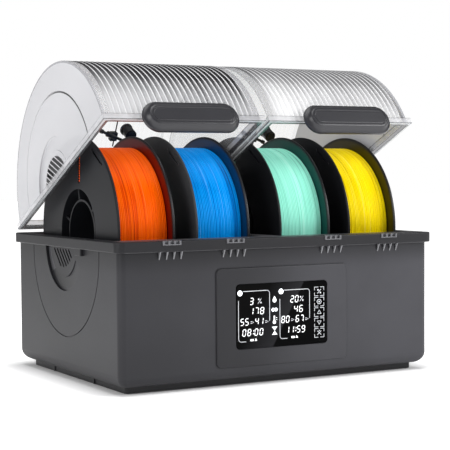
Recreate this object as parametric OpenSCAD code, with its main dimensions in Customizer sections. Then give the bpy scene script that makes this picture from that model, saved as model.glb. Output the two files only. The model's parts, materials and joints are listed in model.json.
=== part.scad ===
// Four-spool filament dryer: a plastic tub with two heated chambers, two clear barrel lids hinged at
// the back, and a reel of filament on rollers in each bay. Millimetres, +Z up, front towards -Y.
// The origin is the middle of the footprint on the floor. Drawn with both lids part open.

/* [Tub] */
// Width over the rim
rim_w = 373; // [340:1:420]
// Depth over the rim
rim_d = 278; // [250:1:320]
// Height of the top of the rim above the floor
rim_z = 148.5; // [140:0.5:170]
// Height of the rim's lip
rim_h = 10.5; // [8:0.5:14]
// How far the rim stands out past the walls
rim_out = 4.25; // [3:0.05:6]
// Wall and floor thickness
wall = 3; // [2.5:0.5:4]
// Radius of the tub's lower edges
low_r = 12; // [6:1:16]
// Radius of the tub's upright corners
corner_r = 7; // [5:1:12]
// Height of the plinth the tub stands on
plinth_z = 7; // [5:0.5:12]
// Width of the plinth
plinth_w = 340; // [300:1:360]
// Depth of the plinth
plinth_d = 241; // [200:1:260]

/* [Control panel] */
// Width of the raised panel
panel_w = 154; // [120:1:180]
// Height of the raised panel
panel_h = 99; // [80:1:110]
// Height of the panel's centre
panel_z = 69.5; // [60:0.5:80]
// Width of the display glass
glass_w = 108; // [90:1:130]
// Height of the display glass
glass_h = 65; // [50:1:80]

/* [Lids] */
// How far the lids stand open as drawn, degrees
lid_open = 25.6; // [0:0.2:80]
// Outer radius of the barrel lids
lid_r = 129.5; // [120:0.5:140]
// Length of one lid's frame from side to side
lid_len = 182.5; // [170:0.5:190]
// Side of the left lid's frame nearest the outer wall
lid_x0 = -184.2; // [-190:0.1:-180]
// Height of the lid's bottom frame
frame_h = 6.5; // [4:0.5:10]
// Number of ribs round each barrel
rib_count = 26; // [10:1:30]
// Handle width
handle_w = 107; // [80:1:120]
// Handle height
handle_h = 32.4; // [24:0.2:40]

/* [Spools] */
// Flange radius of a filament reel
reel_r = 100; // [90:1:102]
// Overall width of a reel
reel_w = 63; // [50:1:68]
// Radius of the wound filament
wound_r = 88; // [60:1:94]
// Height of the reel axis
reel_z = 152.9; // [150:0.1:160]
// Middle of the outer reels, from the centre line
reel_out = 135.3; // [130:0.1:140]
// Middle of the inner reels, from the centre line
reel_in = 49.3; // [45:0.1:55]

/* [Rollers] */
// Radius of a support roller
roller_r = 7.7; // [6:0.1:9]
// Distance of each roller row from the reel axis, front to back
roller_y = 50; // [40:1:60]
// Radius of the roller axles
axle_r = 3; // [2:0.5:4]

/* [Hidden] */
$fn = 96;

// Gaps between pieces that are fixed together, and between pieces dropped into each other
snug = 0.1;
loose = 0.3;
// How far a cutter runs past the face it opens
past = 1;
// Long enough to cross the whole dryer
across = 400;

body_w = rim_w - 2 * rim_out;
body_d = rim_d - 2 * rim_out;
front_y = -body_d / 2;
back_y = body_d / 2;
floor_z = plinth_z + wall;
foot_proud = 0.8;
under_rim = rim_z - rim_h;
sides = [-1, 1];
shell_c = "#55565b";
dark_c = "#1d1d20";
metal_c = "#b9bcc0";
clear_c = "#dfe4e8b0";

// Tub details
boss_r = 4;
boss_h = 8;
pilot_r = 1.5;
post_r = 4.5;
post_x = [-165, -25, 25, 165];
post_y = [-95, 100];
lug_y0 = -49;
lug_y1 = -33;
lug_t = 2.5;
lug_h = 7;
gusset_t = 1.2;
gusset_h = 8.5;
gusset_pitch = 7.85;
intake_pitch = 8;
intake_w = 4;
intake_y = 30;
screw_at = [
    [-155, -105], [0, -105], [155, -105], [-155, 0], [155, 0], [-155, 105], [0, 105], [155, 105]
];

// Mains inlet in the back wall
inlet_x = 60;
inlet_z = 31;
inlet_w = 24;
inlet_h = 16;
inlet_skin = 1.8;
inlet_y0 = 121;
bezel_w = 44;
bezel_h = 26;
bezel_t = 2.4;

// Base
plinth_wall = 3;
rib_at = [-45, 61];
foot_x = [-150, 150];
foot_y = [-88, 88];
foot_r = 9;
head_r = 3.2;
shank_r = 1.5;
hex_r = 1.3;

// Control panel; it sits a little left of the middle, and the display left and up of its own middle
panel_x = -1;
display_x = -2;
display_z = panel_z + 0.5;
panel_proud = 1.8;
panel_back = front_y + wall + 1.75;
glass_t = 1.2;
glass_in = 0.55;
stud_x = [-66, 66];
stud_z = [-38, 38];
stud_r = 1.2;
board_t = 1.6;
board_y = front_y + 4.75;
chip_y = board_y + board_t - 0.05;

// Power supply board
psu_x = 39;
psu_y0 = -62;
psu_y1 = 88;
psu_z = 17;
psu_top = psu_z + board_t;
psu_on = psu_top - snug;
psu_post_r = 3;
cap_r = 7;
cap_h = 18;
sink_x = -34;
sink_t = 4;
fin_t = 1.5;
fin_pitch = 6;

// Chambers
liner_t = 2;
liner_z = 41;
liner_top = 146;
ledge_z = rim_z - 0.1;
liner_x0 = 4.6;
liner_x1 = 178.8;
liner_y0 = -112;
liner_y1 = 119;
liner_mid = (liner_x0 + liner_x1) / 2;
ledge_x0 = 10.4;
divider_x = 4.2;
divider_cap_x = 10;
grille_pitch = 5.4;
grille_w = 3;
grille_y = 28;
wall_vent_r = 14;

// Air path under each chamber
fan_s = 80;
fan_h = 15;
fan_z = 12.5;
fan_bore = 38;
fan_screw_at = 36;
fan_screw_r = 1.8;
strut_w = 3;
strut_h = 2;
hub_h = 2.5;
spindle_r = 2;
spindle_h = 10;
blade_count = 7;
blade_w = 14;
blade_len = 21.5;
blade_t = 1.2;
blade_lean = 38;
duct_z = fan_z + fan_h + 0.2;
duct_x = 43;
duct_y = 40;
duct_t = 2;
heater_x = 40.8;
bar_y = [-33, 0, 33];
bar_w = 4;
bar_z = duct_z + 1.2;
bar_h = 10;
heat_fins = 16;
heat_fin_pitch = 5;
heat_fin_t = 0.8;

// Vents in the side walls
vent_r = 29;
vent_slot = 2.6;
vent_pitch = 5.4;
vent_y = 3;
vent_z = 145;
dish_out_r = 50;
dish_in_r = 35;
groove_w = 1.4;
groove_deep = 0.8;
tub_ring_r = 87.5;
tub_ring_z = 133;
lid_ring_r = 90.5;
lid_ring_y = -3;
lid_ring_z = 148;

// Lids and hinges
hinge_y = 137.8;
hinge_z = 145.2;
pin_r = 1.5;
pin_x = 17;
knuckle_r = 3.2;
knuckle_w = 6;
knuckle_at = 14;
arm_w = 20;
arm_at = [50, 132.5];
lid_z = rim_z + 0.5;
lid_y0 = -135.3;
lid_y1 = 131;
lid_cy = -5.5;
lid_cz = lid_z - 10.7;
lid_t = 2.5;
rib_deep = 0.9;
band_w = 7;
barrel_x0 = 0.6;
barrel_x1 = 176.5;
lid_starts = [lid_x0, -lid_x0 - lid_len];
lid_mid = lid_len / 2;
mouth_x0 = 6.5;
mouth_x1 = 173;
mouth_y0 = -129;
mouth_y1 = 119.5;
seal_in = 0.8;
seal_w = 2.4;
seal_top = lid_z + 1.7;
above_frame = lid_z + frame_h + 0.4;

// Vent plug and humidity probe in the crown of each lid
plug_at = 129;
plug_ang = 35.3;
plug_hole_r = 5;
probe_at = 110.8;
probe_ang = plug_ang + 2.4;
clip_w = 8;
clip_d = 10;
clip_h = 5.8;
stem_r = 1.7;
stem_len = 34;
stem_lean = -22;
lead_at = 113.2;
lead_ang = 36.3;
lead_len = 33;
lead_r = 0.75;

// Latch and handle
keeper_at = 35.3;
keeper_w = 20;
keeper_deep = 3.4;
keeper_h = 4.5;
keeper_proud = 1.3;
notch_w = 4;
notch_pitch = 6;
prong_w = 3;
handle_z = 147.3;
handle_back = -141.5;
pad_w = 44;
handle_screw_x = [-14, 14];
handle_screw_z = lid_z + 3.5;
handle_screw_r = 1.4;

// Reels and rollers
reel_at = [-reel_out, -reel_in, reel_in, reel_out];
flange_t = 3;
hub_r = 45;
hub_t = 2;
ring_r = 34.5;
ring_t = 2.5;
ring_deep = 46;
spoke_t = 2.4;
spokes = 6;
slot_r0 = 51;
slot_len = 31;
slot_w = 4.4;
reel_c = ["#e8530f", "#1f7fd8", "#8fe0c4", "#f0d40a"];
roller_z = reel_z - sqrt(pow(reel_r + 8, 2) - pow(roller_y, 2));
roller_len = reel_w + 3;
tyre_w = 12;
tyre_h = 1.2;
cradle_x0 = 10.5;
cradle_x1 = 174;
cradle_t = 2.6;
cradle_y = 9;
bearing_r = 6;
bearings = [[cradle_x0, 15], [84.5, 88.5], [96.5, 100.5], [169.5, cradle_x1]];

// ---- shapes used by several pieces ----

module plan(w, d, r) {
    square([w - 2 * r, d], center = true);
    square([w, d - 2 * r], center = true);
    for (x = sides, y = sides)
        translate([x * (w / 2 - r), y * (d / 2 - r)]) circle(r);
}

module slab(w, d, r, z0, z1) {
    translate([0, 0, z0]) linear_extrude(z1 - z0) plan(w, d, r);
}

// A plate with rounded corners standing upright, its face towards -Y
module upright(w, h, r, y0, y1) {
    translate([0, y1, 0]) rotate([90, 0, 0]) linear_extrude(y1 - y0) plan(w, h, r);
}

module side_profile(w, z0, z1, r) {
    translate([-w / 2, z0 + r]) square([w, z1 - z0 - r]);
    translate([-w / 2 + r, z0]) square([w - 2 * r, z1 - z0]);
    for (x = sides) translate([x * (w / 2 - r), z0 + r]) circle(r);
}

// A bin with rounded lower edges and rounded upright corners
module bin(w, d, z0, z1, r, rc) {
    intersection() {
        slab(w, d, rc, z0 - past, z1);
        translate([0, d, 0]) rotate([90, 0, 0]) linear_extrude(2 * d) side_profile(w, z0, z1, r);
        translate([-w, 0, 0]) rotate([90, 0, 90]) linear_extrude(2 * w) side_profile(d, z0, z1, r);
    }
}

module box(x0, x1, y0, y1, z0, z1) {
    translate([x0, y0, z0]) cube([x1 - x0, y1 - y0, z1 - z0]);
}

// A box given for the right-hand chamber, mirrored when s is -1
module box_s(s, x0, x1, y0, y1, z0, z1) {
    box(min(s * x0, s * x1), max(s * x0, s * x1), y0, y1, z0, z1);
}

// An upright post of radius r
module post(x, y, z0, z1, r) {
    translate([x, y, z0]) cylinder(r = r, h = z1 - z0);
}

module rod_x(x0, x1, y, z, r) {
    translate([x0, y, z]) rotate([0, 90, 0]) cylinder(r = r, h = x1 - x0);
}

module rod_y(x, y0, y1, z, r) {
    translate([x, y1, z]) rotate([90, 0, 0]) cylinder(r = r, h = y1 - y0);
}

module ring_x(x0, x1, y, z, r, w) {
    difference() {
        rod_x(x0, x1, y, z, r + w / 2);
        rod_x(x0 - past, x1 + past, y, z, r - w / 2);
    }
}

// A lid's pieces are drawn closed, then swung about the hinge
module on_lid() {
    translate([0, hinge_y, hinge_z]) rotate([-lid_open, 0, 0]) translate([0, -hinge_y, -hinge_z])
        children();
}

// Puts a piece at a place along the barrel and an angle back from its top, pointing outwards
module at_barrel(x, a) {
    translate([x, lid_cy, lid_cz]) rotate([-a, 0, 0]) children();
}

// Slanted slots inside a round vent; offsets are measured square to the slots
module vent_slots(offsets, x0, x1, zmin, zmax) {
    intersection() {
        rod_x(x0, x1, vent_y, vent_z, vent_r);
        box(x0, x1, vent_y - vent_r, vent_y + vent_r, zmin, zmax);
        for (o = offsets)
            translate([(x0 + x1) / 2, vent_y, vent_z]) rotate([-45, 0, 0]) translate([0, o, 0])
                cube([x1 - x0, vent_slot, 3 * vent_r], center = true);
    }
}

// A ring-shaped dish round the vent, deep at the back and running out at the front
module vent_dish(face, out, deep, zmin, zmax) {
    cutter = [20, 140, 200];
    intersection() {
        box(face - 5, face + 5, -80, 80, zmin, zmax);
        difference() {
            rod_x(face - 4, face + 4, vent_y, vent_z, dish_out_r);
            rod_x(face - 5, face + 5, vent_y, vent_z, dish_in_r);
        }
        translate([face, vent_y + dish_out_r, vent_z]) rotate([0, 0, out * atan(deep / 95)])
            translate([out > 0 ? -deep : deep - cutter[0], -120, -cutter[2] / 2]) cube(cutter);
    }
}

// Slots under a fan, s is the side of the dryer
module intake(s, y, z0, z1) {
    for (i = [-4:4])
        translate([s * liner_mid + i * intake_pitch, 0, 0])
            box(-intake_w / 2, intake_w / 2, -y, y, z0, z1);
}

// ---- tub ----

module hinge_ears() {
    for (s = lid_starts, a = arm_at, e = sides) {
        x0 = s + a + e * knuckle_at - knuckle_w / 2;
        rod_x(x0, x0 + knuckle_w, hinge_y, hinge_z, knuckle_r);
        box(x0, x0 + knuckle_w, hinge_y - 4, hinge_y, under_rim + 1, rim_z - snug);
    }
}

module front_gussets() {
    lip_y = front_y - rim_out + 0.3;
    for (s = lid_starts, k = sides, g = [-1.5, -0.5, 0.5, 1.5])
        translate([s + lid_mid + k * keeper_at + g * gusset_pitch - gusset_t / 2, 0, 0]) rotate([90, 0, 90])
            linear_extrude(gusset_t) polygon([
                [front_y + 1, under_rim + 1], [lip_y, under_rim + 1], [lip_y, under_rim],
                [front_y, under_rim - gusset_h], [front_y + 1, under_rim - gusset_h]
            ]);
}

// The basin with its rim
module basin() {
    difference() {
        union() {
            bin(body_w, body_d, plinth_z, rim_z - 1, low_r, corner_r);
            slab(rim_w, rim_d, corner_r + 1.5, under_rim, rim_z);
        }
        bin(body_w - 2 * wall, body_d - 2 * wall, floor_z, rim_z + 5, low_r - wall, corner_r - wall);
    }
}

module wall_lugs() {
    for (s = sides)
        box(s * (body_w / 2 + 1) - lug_t, s * (body_w / 2 + 1) + lug_t, lug_y0, lug_y1,
            under_rim - lug_h, under_rim + 1);
}

// Ring groove, dish and vent slots of one side wall
module side_marks(s) {
    face = s * body_w / 2;
    intersection() {
        ring_x(face - groove_deep, face + groove_deep, 0, tub_ring_z, tub_ring_r, groove_w);
        box(-rim_w, rim_w, -100, 100, 0, under_rim);
    }
    vent_dish(face, -s, 1.8, vent_z - 60, under_rim - 0.01);
    vent_slots([for (i = [-1:4]) (i + 0.5) * vent_pitch], face - 5, face + 5, vent_z - 40, under_rim - 0.6);
}

module hinge_pockets() {
    half = arm_w / 2 + 1;
    for (s = lid_starts, a = arm_at) {
        box(s + a - half, s + a + half, hinge_y - 3.7, hinge_y + 8, hinge_z - 3.8, rim_z + 1);
        rod_x(s + a - pin_x - 1, s + a + pin_x + 1, hinge_y, hinge_z, pin_r + 0.02);
    }
}

module keeper_pockets() {
    for (s = lid_starts, k = sides) {
        x = s + lid_mid + k * keeper_at;
        box(x - keeper_w / 2, x + keeper_w / 2, -rim_d / 2 - 1, -rim_d / 2 + keeper_deep,
            rim_z - keeper_h, rim_z + 1);
    }
}

module tub_shell() color(shell_c) difference() {
    union() {
        basin();
        hinge_ears();
        front_gussets();
        wall_lugs();
        // bosses for the plinth screws, and posts that carry the two chamber liners
        for (p = screw_at) post(p[0], p[1], floor_z - 1, floor_z - 1 + boss_h, boss_r);
        for (x = post_x, y = post_y) post(x, y, floor_z - 1, liner_z - 0.05, post_r);
    }
    // opening behind the control panel
    translate([panel_x, 0, panel_z]) upright(panel_w - 6, panel_h - 6, 4, front_y - 2, front_y + wall + 2);
    for (s = sides) side_marks(s);
    hinge_pockets();
    keeper_pockets();
    for (p = screw_at) post(p[0], p[1], plinth_z - 1, plinth_z + boss_h, pilot_r);
    for (s = sides) intake(s, intake_y, plinth_z - 1, floor_z + 1);
    // cut-out for the mains inlet
    box(inlet_x - inlet_w / 2 - 2, inlet_x + inlet_w / 2 + 2, back_y - wall - 1, back_y + 1,
        inlet_z - inlet_h / 2 - 2.2, inlet_z + inlet_h / 2 + 2.2);
}

module latch_keepers() color("#9b9ca1")
    for (s = lid_starts, k = sides)
        translate([s + lid_mid + k * keeper_at, 0, 0]) difference() {
            box(-keeper_w / 2 + snug, keeper_w / 2 - snug, -rim_d / 2 - keeper_proud,
                -rim_d / 2 + keeper_deep, rim_z - keeper_h + snug, rim_z);
            for (i = [-1:1])
                box(i * notch_pitch - notch_w / 2, i * notch_pitch + notch_w / 2, -rim_d / 2 - 2,
                    -rim_d / 2 + 1.7, rim_z - 3.4, rim_z + 1);
        }

module hinge_pins() color(metal_c)
    for (s = lid_starts, a = arm_at) rod_x(s + a - pin_x, s + a + pin_x, hinge_y, hinge_z, pin_r);

// ---- base ----

module base_plinth() color(dark_c) difference() {
    union() {
        difference() {
            slab(plinth_w, plinth_d, 3, foot_proud, plinth_z);
            slab(plinth_w - 2 * plinth_wall, plinth_d - 2 * plinth_wall, 1.5, foot_proud + 2, plinth_z + 1);
        }
        for (p = screw_at) post(p[0], p[1], foot_proud + 1, plinth_z, 6);
        for (s = sides, y = rib_at)
            box(s * plinth_w / 2 - 1, s * plinth_w / 2 + 1, y - 1.5, y + 1.5, foot_proud, plinth_z);
    }
    for (p = screw_at) {
        post(p[0], p[1], 0, plinth_z + past, shank_r + 0.2);
        post(p[0], p[1], 0, foot_proud + 2.4, head_r + 0.2);
    }
    for (x = foot_x, y = foot_y) post(x, y, 0, foot_proud + 1, foot_r + snug);
    for (s = sides) intake(s, intake_y + 2, 0, foot_proud + 3);
}

module rubber_feet() color("#141414")
    for (x = foot_x, y = foot_y) {
        post(x, y, 0, 0.5, foot_r - 0.4);
        post(x, y, 0.4, foot_proud + 1, foot_r);
    }

module base_screws() color(metal_c)
    for (p = screw_at) translate([p[0], p[1], foot_proud + 0.4]) difference() {
        union() {
            cylinder(r = head_r, h = 2);
            cylinder(r = shank_r, h = plinth_z + 6.5);
        }
        translate([0, 0, -1]) cylinder(r = hex_r, h = 2, $fn = 6);
    }

// ---- control panel and electronics ----

module control_panel() color("#5c5d63") difference() {
    union() {
        translate([panel_x, 0, panel_z]) upright(panel_w, panel_h, 5, front_y - panel_proud, front_y);
        translate([panel_x, 0, panel_z])
            upright(panel_w - 6.4, panel_h - 6.4, 3.8, front_y - 1, panel_back);
    }
    translate([display_x, 0, display_z]) upright(glass_w, glass_h, 4, front_y - 3, front_y - glass_in);
    translate([display_x, 0, display_z]) upright(glass_w - 4, glass_h - 4, 2.5, front_y - 1, front_y + 10);
    for (x = stud_x, z = stud_z)
        rod_y(panel_x + x, front_y + 1, front_y + 10, panel_z + z, stud_r);
}

module display_glass() color("#08080a") translate([display_x, 0, display_z])
    upright(glass_w - 0.2, glass_h - 0.2, 3.9, front_y - glass_in - glass_t, front_y - glass_in);

module display_board() color("#1c5a34") {
    translate([display_x, 0, display_z])
        upright(glass_w - 5, glass_h - 5, 2, front_y - glass_in + snug, front_y + 5);
    translate([panel_x, 0, panel_z]) {
        upright(panel_w - 10, panel_h - 10, 2, board_y, board_y + board_t);
        for (x = stud_x, z = stud_z) rod_y(x, front_y + 1.1, front_y + 8, z, stud_r);
        // connectors along the lower edge, the relay, two capacitors and the processor
        for (x = [-50, -22, 6]) box(x, x + 18, chip_y, chip_y + 8.7, -34, -22);
        box(34, 62, chip_y, chip_y + 7.7, -30, -8);
        for (x = [40, 54]) rod_y(x, chip_y, chip_y + 11.7, 20, 5);
        box(-58, -30, chip_y, chip_y + 2.7, 10, 28);
    }
}

module power_supply() color("#1c5a34") difference() {
    union() {
        box(-psu_x, psu_x, psu_y0, psu_y1, psu_z, psu_top);
        for (x = [-34, 34], y = [-56, 82]) post(x, y, floor_z, psu_z + 0.2, psu_post_r);
        // transformer
        box(-22, 14, -10, 26, psu_on, 36);
        for (x = [-25, -8, 9]) post(x, 42, psu_on, psu_on + cap_h, cap_r);
        // transistors along one edge
        for (i = [0:3]) box(20, 34, -50 + i * 19, -38 + i * 19, psu_on, 34);
        // heat sink
        box(sink_x, sink_x + sink_t, -50, 30, psu_on, 37);
        for (i = [0:6])
            box(sink_x + 3, sink_x + 10, -50 + i * fin_pitch, -50 + i * fin_pitch + fin_t, psu_on, 37);
        // terminal block
        box(-10, 26, 66, 84, psu_on, 30);
    }
    for (i = [0:4]) box(-6 + i * 7, -2 + i * 7, 76, 85, 22, 28);
}

module power_inlet() color("#18181a") difference() {
    union() {
        translate([inlet_x, 0, inlet_z]) upright(bezel_w, bezel_h, 4, back_y, back_y + bezel_t);
        box(inlet_x - inlet_w / 2 - inlet_skin, inlet_x + inlet_w / 2 + inlet_skin, inlet_y0, back_y + 1,
            inlet_z - inlet_h / 2 - 2, inlet_z + inlet_h / 2 + 2);
    }
    box(inlet_x - inlet_w / 2, inlet_x + inlet_w / 2, inlet_y0 + 2, back_y + 5,
        inlet_z - inlet_h / 2, inlet_z + inlet_h / 2);
}

module centre_divider() color("#48494e") {
    box(-divider_x, divider_x, liner_y0 + 0.2, liner_y1 - 0.2, liner_z, liner_top + 1);
    box(-divider_cap_x, divider_cap_x, front_y + wall + loose, back_y - wall - loose,
        liner_top + 0.2, ledge_z);
}

// ---- chambers ----

module chamber_liner(s) color("#3c3d42") difference() {
    union() {
        box_s(s, liner_x0, liner_x1, liner_y0, liner_y1, liner_z, liner_top);
        // ledge that closes the gap up to the tub's walls
        intersection() {
            slab(2 * liner_x1, body_d - 2 * wall - 2 * loose, corner_r - wall + loose, liner_top, ledge_z);
            box_s(s, ledge_x0, rim_w, front_y, back_y, liner_top - 1, rim_z);
        }
    }
    box_s(s, liner_x0 + liner_t, liner_x1 - liner_t, liner_y0 + liner_t, liner_y1 - liner_t,
        liner_z + liner_t, rim_z + 5);
    // grille over the heater
    for (i = [-6:6])
        box_s(s, liner_mid + i * grille_pitch - grille_w / 2, liner_mid + i * grille_pitch + grille_w / 2,
            -grille_y, grille_y, liner_z - 1, liner_z + 5);
    // vent facing the slots of the tub's side wall
    rod_x(s * liner_x1 - 5, s * liner_x1 + 5, vent_y, vent_z - 21, wall_vent_r);
}

module air_duct(s) color("#2a2b2e") translate([s * liner_mid, 0, 0]) difference() {
    box(-duct_x, duct_x, -duct_y, duct_y, duct_z, liner_z - snug);
    box(-duct_x + duct_t, duct_x - duct_t, -duct_y + duct_t, duct_y - duct_t, duct_z - 1, liner_z + 1);
}

module heater(s) color(metal_c) translate([s * liner_mid, 0, 0]) {
    for (y = bar_y) box(-heater_x, heater_x, y - bar_w / 2, y + bar_w / 2, bar_z, bar_z + bar_h);
    for (i = [0:heat_fins - 1], y = [bar_y[0], 0]) {
        x = (i - (heat_fins - 1) / 2) * heat_fin_pitch;
        box(x - heat_fin_t / 2, x + heat_fin_t / 2, y + 1.5, y + 31.5, bar_z + 0.5, bar_z + bar_h - 0.5);
    }
}

module fan_frame(s) color(dark_c) translate([s * liner_mid, 0, 0]) {
    difference() {
        box(-fan_s / 2, fan_s / 2, -fan_s / 2, fan_s / 2, fan_z, fan_z + fan_h);
        post(0, 0, fan_z - past, fan_z + fan_h + past, fan_bore);
        for (x = sides * fan_screw_at, y = sides * fan_screw_at)
            post(x, y, fan_z - past, fan_z + fan_h + past, fan_screw_r);
    }
    // struts, hub and spindle that carry the rotor
    for (a = [45, 135]) rotate([0, 0, a])
        box(-fan_bore - 1.5, fan_bore + 1.5, -strut_w / 2, strut_w / 2, fan_z, fan_z + strut_h);
    post(0, 0, fan_z, fan_z + hub_h, 15);
    post(0, 0, fan_z, fan_z + spindle_h, spindle_r);
    // lugs that stand the fan on the tub's floor
    for (x = [-32, 32], y = [-39, 39]) box(x - 3, x + 3, y - 1, y + 1, floor_z, fan_z + 1);
}

module fan_rotor(s) color("#26272b") translate([s * liner_mid, 0, fan_z + 3.2]) difference() {
    union() {
        cylinder(r = 16, h = 11);
        for (i = [0:blade_count - 1]) rotate([0, 0, i * 360 / blade_count]) translate([15, 0, 5.5])
            rotate([blade_lean, 0, 0])
                translate([0, -blade_w / 2, -blade_t / 2]) cube([blade_len, blade_w, blade_t]);
    }
    post(0, 0, -past, 8, spindle_r + 0.05);
}

// ---- rollers ----

module roller_cradle(s) color("#2f3034") difference() {
    for (y = sides * roller_y) {
        box_s(s, cradle_x0, cradle_x1, y - cradle_y, y + cradle_y, liner_z + liner_t,
            liner_z + liner_t + cradle_t);
        for (b = bearings) {
            box_s(s, b[0], b[1], y - bearing_r, y + bearing_r, liner_z + liner_t + 1, roller_z);
            rod_x(s > 0 ? b[0] : -b[1], s > 0 ? b[1] : -b[0], y, roller_z, bearing_r);
        }
    }
    for (y = sides * roller_y)
        rod_x(-rim_w / 2, rim_w / 2, y, roller_z, axle_r);
}

module roller_axles() color(metal_c)
    for (x0 = [-cradle_x1, cradle_x0], y = sides * roller_y)
        rod_x(x0, x0 + cradle_x1 - cradle_x0, y, roller_z, axle_r);

module roller(i, e) color("#6d6e73") translate([reel_at[i] - roller_len / 2, e * roller_y, roller_z])
    rotate([0, 90, 0]) difference() {
        union() {
            cylinder(r = roller_r, h = tyre_w);
            translate([0, 0, tyre_w - 1]) cylinder(r = roller_r - tyre_h, h = roller_len - 2 * tyre_w + 2);
            translate([0, 0, roller_len - tyre_w]) cylinder(r = roller_r, h = tyre_w);
        }
        translate([0, 0, -past]) cylinder(r = axle_r + 0.05, h = roller_len + 2 * past);
    }

// ---- lids ----

// Cross-section of the barrel's skin with its ribs, along the lid's length
module barrel_section() {
    pitch = (barrel_x1 - barrel_x0 - 2 * band_w) / rib_count;
    translate([lid_r - lid_t, barrel_x0]) square([lid_t - rib_deep, barrel_x1 - barrel_x0]);
    for (x = [barrel_x0, barrel_x1 - band_w]) translate([lid_r - lid_t, x]) square([lid_t, band_w]);
    for (k = [0:rib_count - 1])
        translate([lid_r - lid_t, barrel_x0 + band_w + (k + 0.25) * pitch]) square([lid_t, pitch / 2]);
}

// Half barrel with both end walls, standing on its flat frame
module lid_body() {
    intersection() {
        box(-past, lid_len + past, -across / 2, across / 2, lid_z, across);
        union() {
            translate([0, lid_cy, lid_cz]) rotate([90, 0, 90]) rotate_extrude() barrel_section();
            for (x = [barrel_x0, barrel_x1 - lid_t]) rod_x(x, x + lid_t, lid_cy, lid_cz, lid_r - 1.2);
        }
    }
    difference() {
        box(0, lid_len, lid_y0, lid_y1, lid_z, lid_z + frame_h);
        box(mouth_x0, mouth_x1, mouth_y0, mouth_y1, lid_z - past, lid_z + frame_h + past);
    }
}

module lid(i) color(clear_c) on_lid() translate([lid_starts[i], 0, 0]) {
    outer = i == 0 ? barrel_x0 : barrel_x1;
    out = i == 0 ? -1 : 1;
    difference() {
        lid_body();
        seal_ring(lid_z - past, seal_top);
        // ring, dish and slots on the outer end wall
        intersection() {
            ring_x(outer - groove_deep, outer + groove_deep, lid_ring_y, lid_ring_z, lid_ring_r, groove_w);
            box(-5, lid_len + 5, -across / 2, across / 2, above_frame, across);
        }
        vent_dish(outer, -out, 1.3, above_frame, vent_z + 60);
        vent_slots([for (k = [-1:2]) k * vent_pitch], outer - 4, outer + 4, above_frame, vent_z + 40);
        // round opening for the vent plug
        at_barrel(plug_at, plug_ang) post(0, 0, lid_r - 8, lid_r + 4, plug_hole_r);
        // bores for the handle screws
        for (x = handle_screw_x)
            rod_y(lid_mid + x, lid_y0 - past, mouth_y0 + past, handle_screw_z, handle_screw_r + snug);
    }
}

module seal_ring(z0, z1) {
    inner = seal_in + seal_w;
    difference() {
        box(seal_in, lid_len - seal_in, lid_y0 + seal_in, lid_y1 - seal_in, z0, z1);
        box(inner, lid_len - inner, lid_y0 + inner, lid_y1 - inner, z0 - past, z1 + past);
    }
}

module lid_seal(i) color("#c9ccd0") on_lid() translate([lid_starts[i], 0, 0])
    seal_ring(lid_z - 0.25, seal_top);

module handle_stadium(inset, y0, y1) {
    translate([lid_mid, y1, handle_z]) rotate([90, 0, 0]) linear_extrude(y1 - y0)
        plan(handle_w - 2 * inset, handle_h - 2 * inset, handle_h / 2 - inset - 0.01);
}

module lid_handle(i) color("#6a6b70") on_lid() translate([lid_starts[i], 0, 0]) difference() {
    union() {
        handle_stadium(0, handle_back - 3.5, handle_back);
        handle_stadium(2.4, handle_back - 5.5, handle_back - 3);
        handle_stadium(5.2, handle_back - 8.5, handle_back - 5);
        // pad that the lid frame is screwed to
        box(lid_mid - pad_w / 2, lid_mid + pad_w / 2, handle_back - 1, lid_y0,
            lid_z + 0.6, lid_z + frame_h);
        // prongs that drop into the latch keepers
        for (k = sides, j = [-1:1]) translate([lid_mid + k * keeper_at + j * notch_pitch, 0, 0]) {
            box(-prong_w / 2, prong_w / 2, handle_back - 1, -137.9, lid_z + 0.6, lid_z + 3);
            box(-prong_w / 2, prong_w / 2, -139.2, -137.9, rim_z - 2.6, lid_z + 3);
        }
    }
    // shallow sunk face of the grip
    handle_stadium(8.6, handle_back - 9, handle_back - 7.9);
    for (x = handle_screw_x) rod_y(lid_mid + x, handle_back - 3, -130, handle_screw_z, handle_screw_r);
}

module handle_screws(i) color(metal_c) on_lid() translate([lid_starts[i] + lid_mid, 0, handle_screw_z])
    for (x = handle_screw_x) difference() {
        union() {
            rod_y(x, handle_back - 2.6, mouth_y0 + snug, 0, handle_screw_r);
            rod_y(x, mouth_y0, mouth_y0 + 1.8, 0, 2.7);
        }
        translate([x, mouth_y0 + 3, 0]) rotate([90, 0, 0]) cylinder(r = 1.2, h = 2, $fn = 6);
    }

module hinge_arms(i) color("#3a3b40") on_lid() translate([lid_starts[i], 0, 0])
    for (a = arm_at) difference() {
        x0 = a - arm_w / 2;
        union() {
            rod_x(x0, x0 + arm_w, hinge_y, hinge_z, knuckle_r);
            box(x0, x0 + arm_w, hinge_y - 3, hinge_y, hinge_z, lid_z + 3);
            box(x0, x0 + arm_w, lid_y1, hinge_y - 1.3, lid_z + 1, lid_z + frame_h);
            box(x0, x0 + arm_w, lid_y1 - 5, hinge_y - 3, lid_z + frame_h, lid_z + frame_h + 2);
        }
        rod_x(x0 - past, x0 + arm_w + past, hinge_y, hinge_z, pin_r + 0.05);
    }

module vent_plug(i) color(dark_c) on_lid() translate([lid_starts[i], 0, 0]) at_barrel(plug_at, plug_ang) {
    post(0, 0, lid_r + 0.15, lid_r + 1.75, 7.5);
    post(0, 0, lid_r - 6, lid_r + 0.6, plug_hole_r - snug);
    post(0, 0, lid_r - 14, lid_r - 4.5, 6.6);
    post(0, 0, lid_r - 15.5, lid_r - 13.5, 5.2);
}

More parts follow.
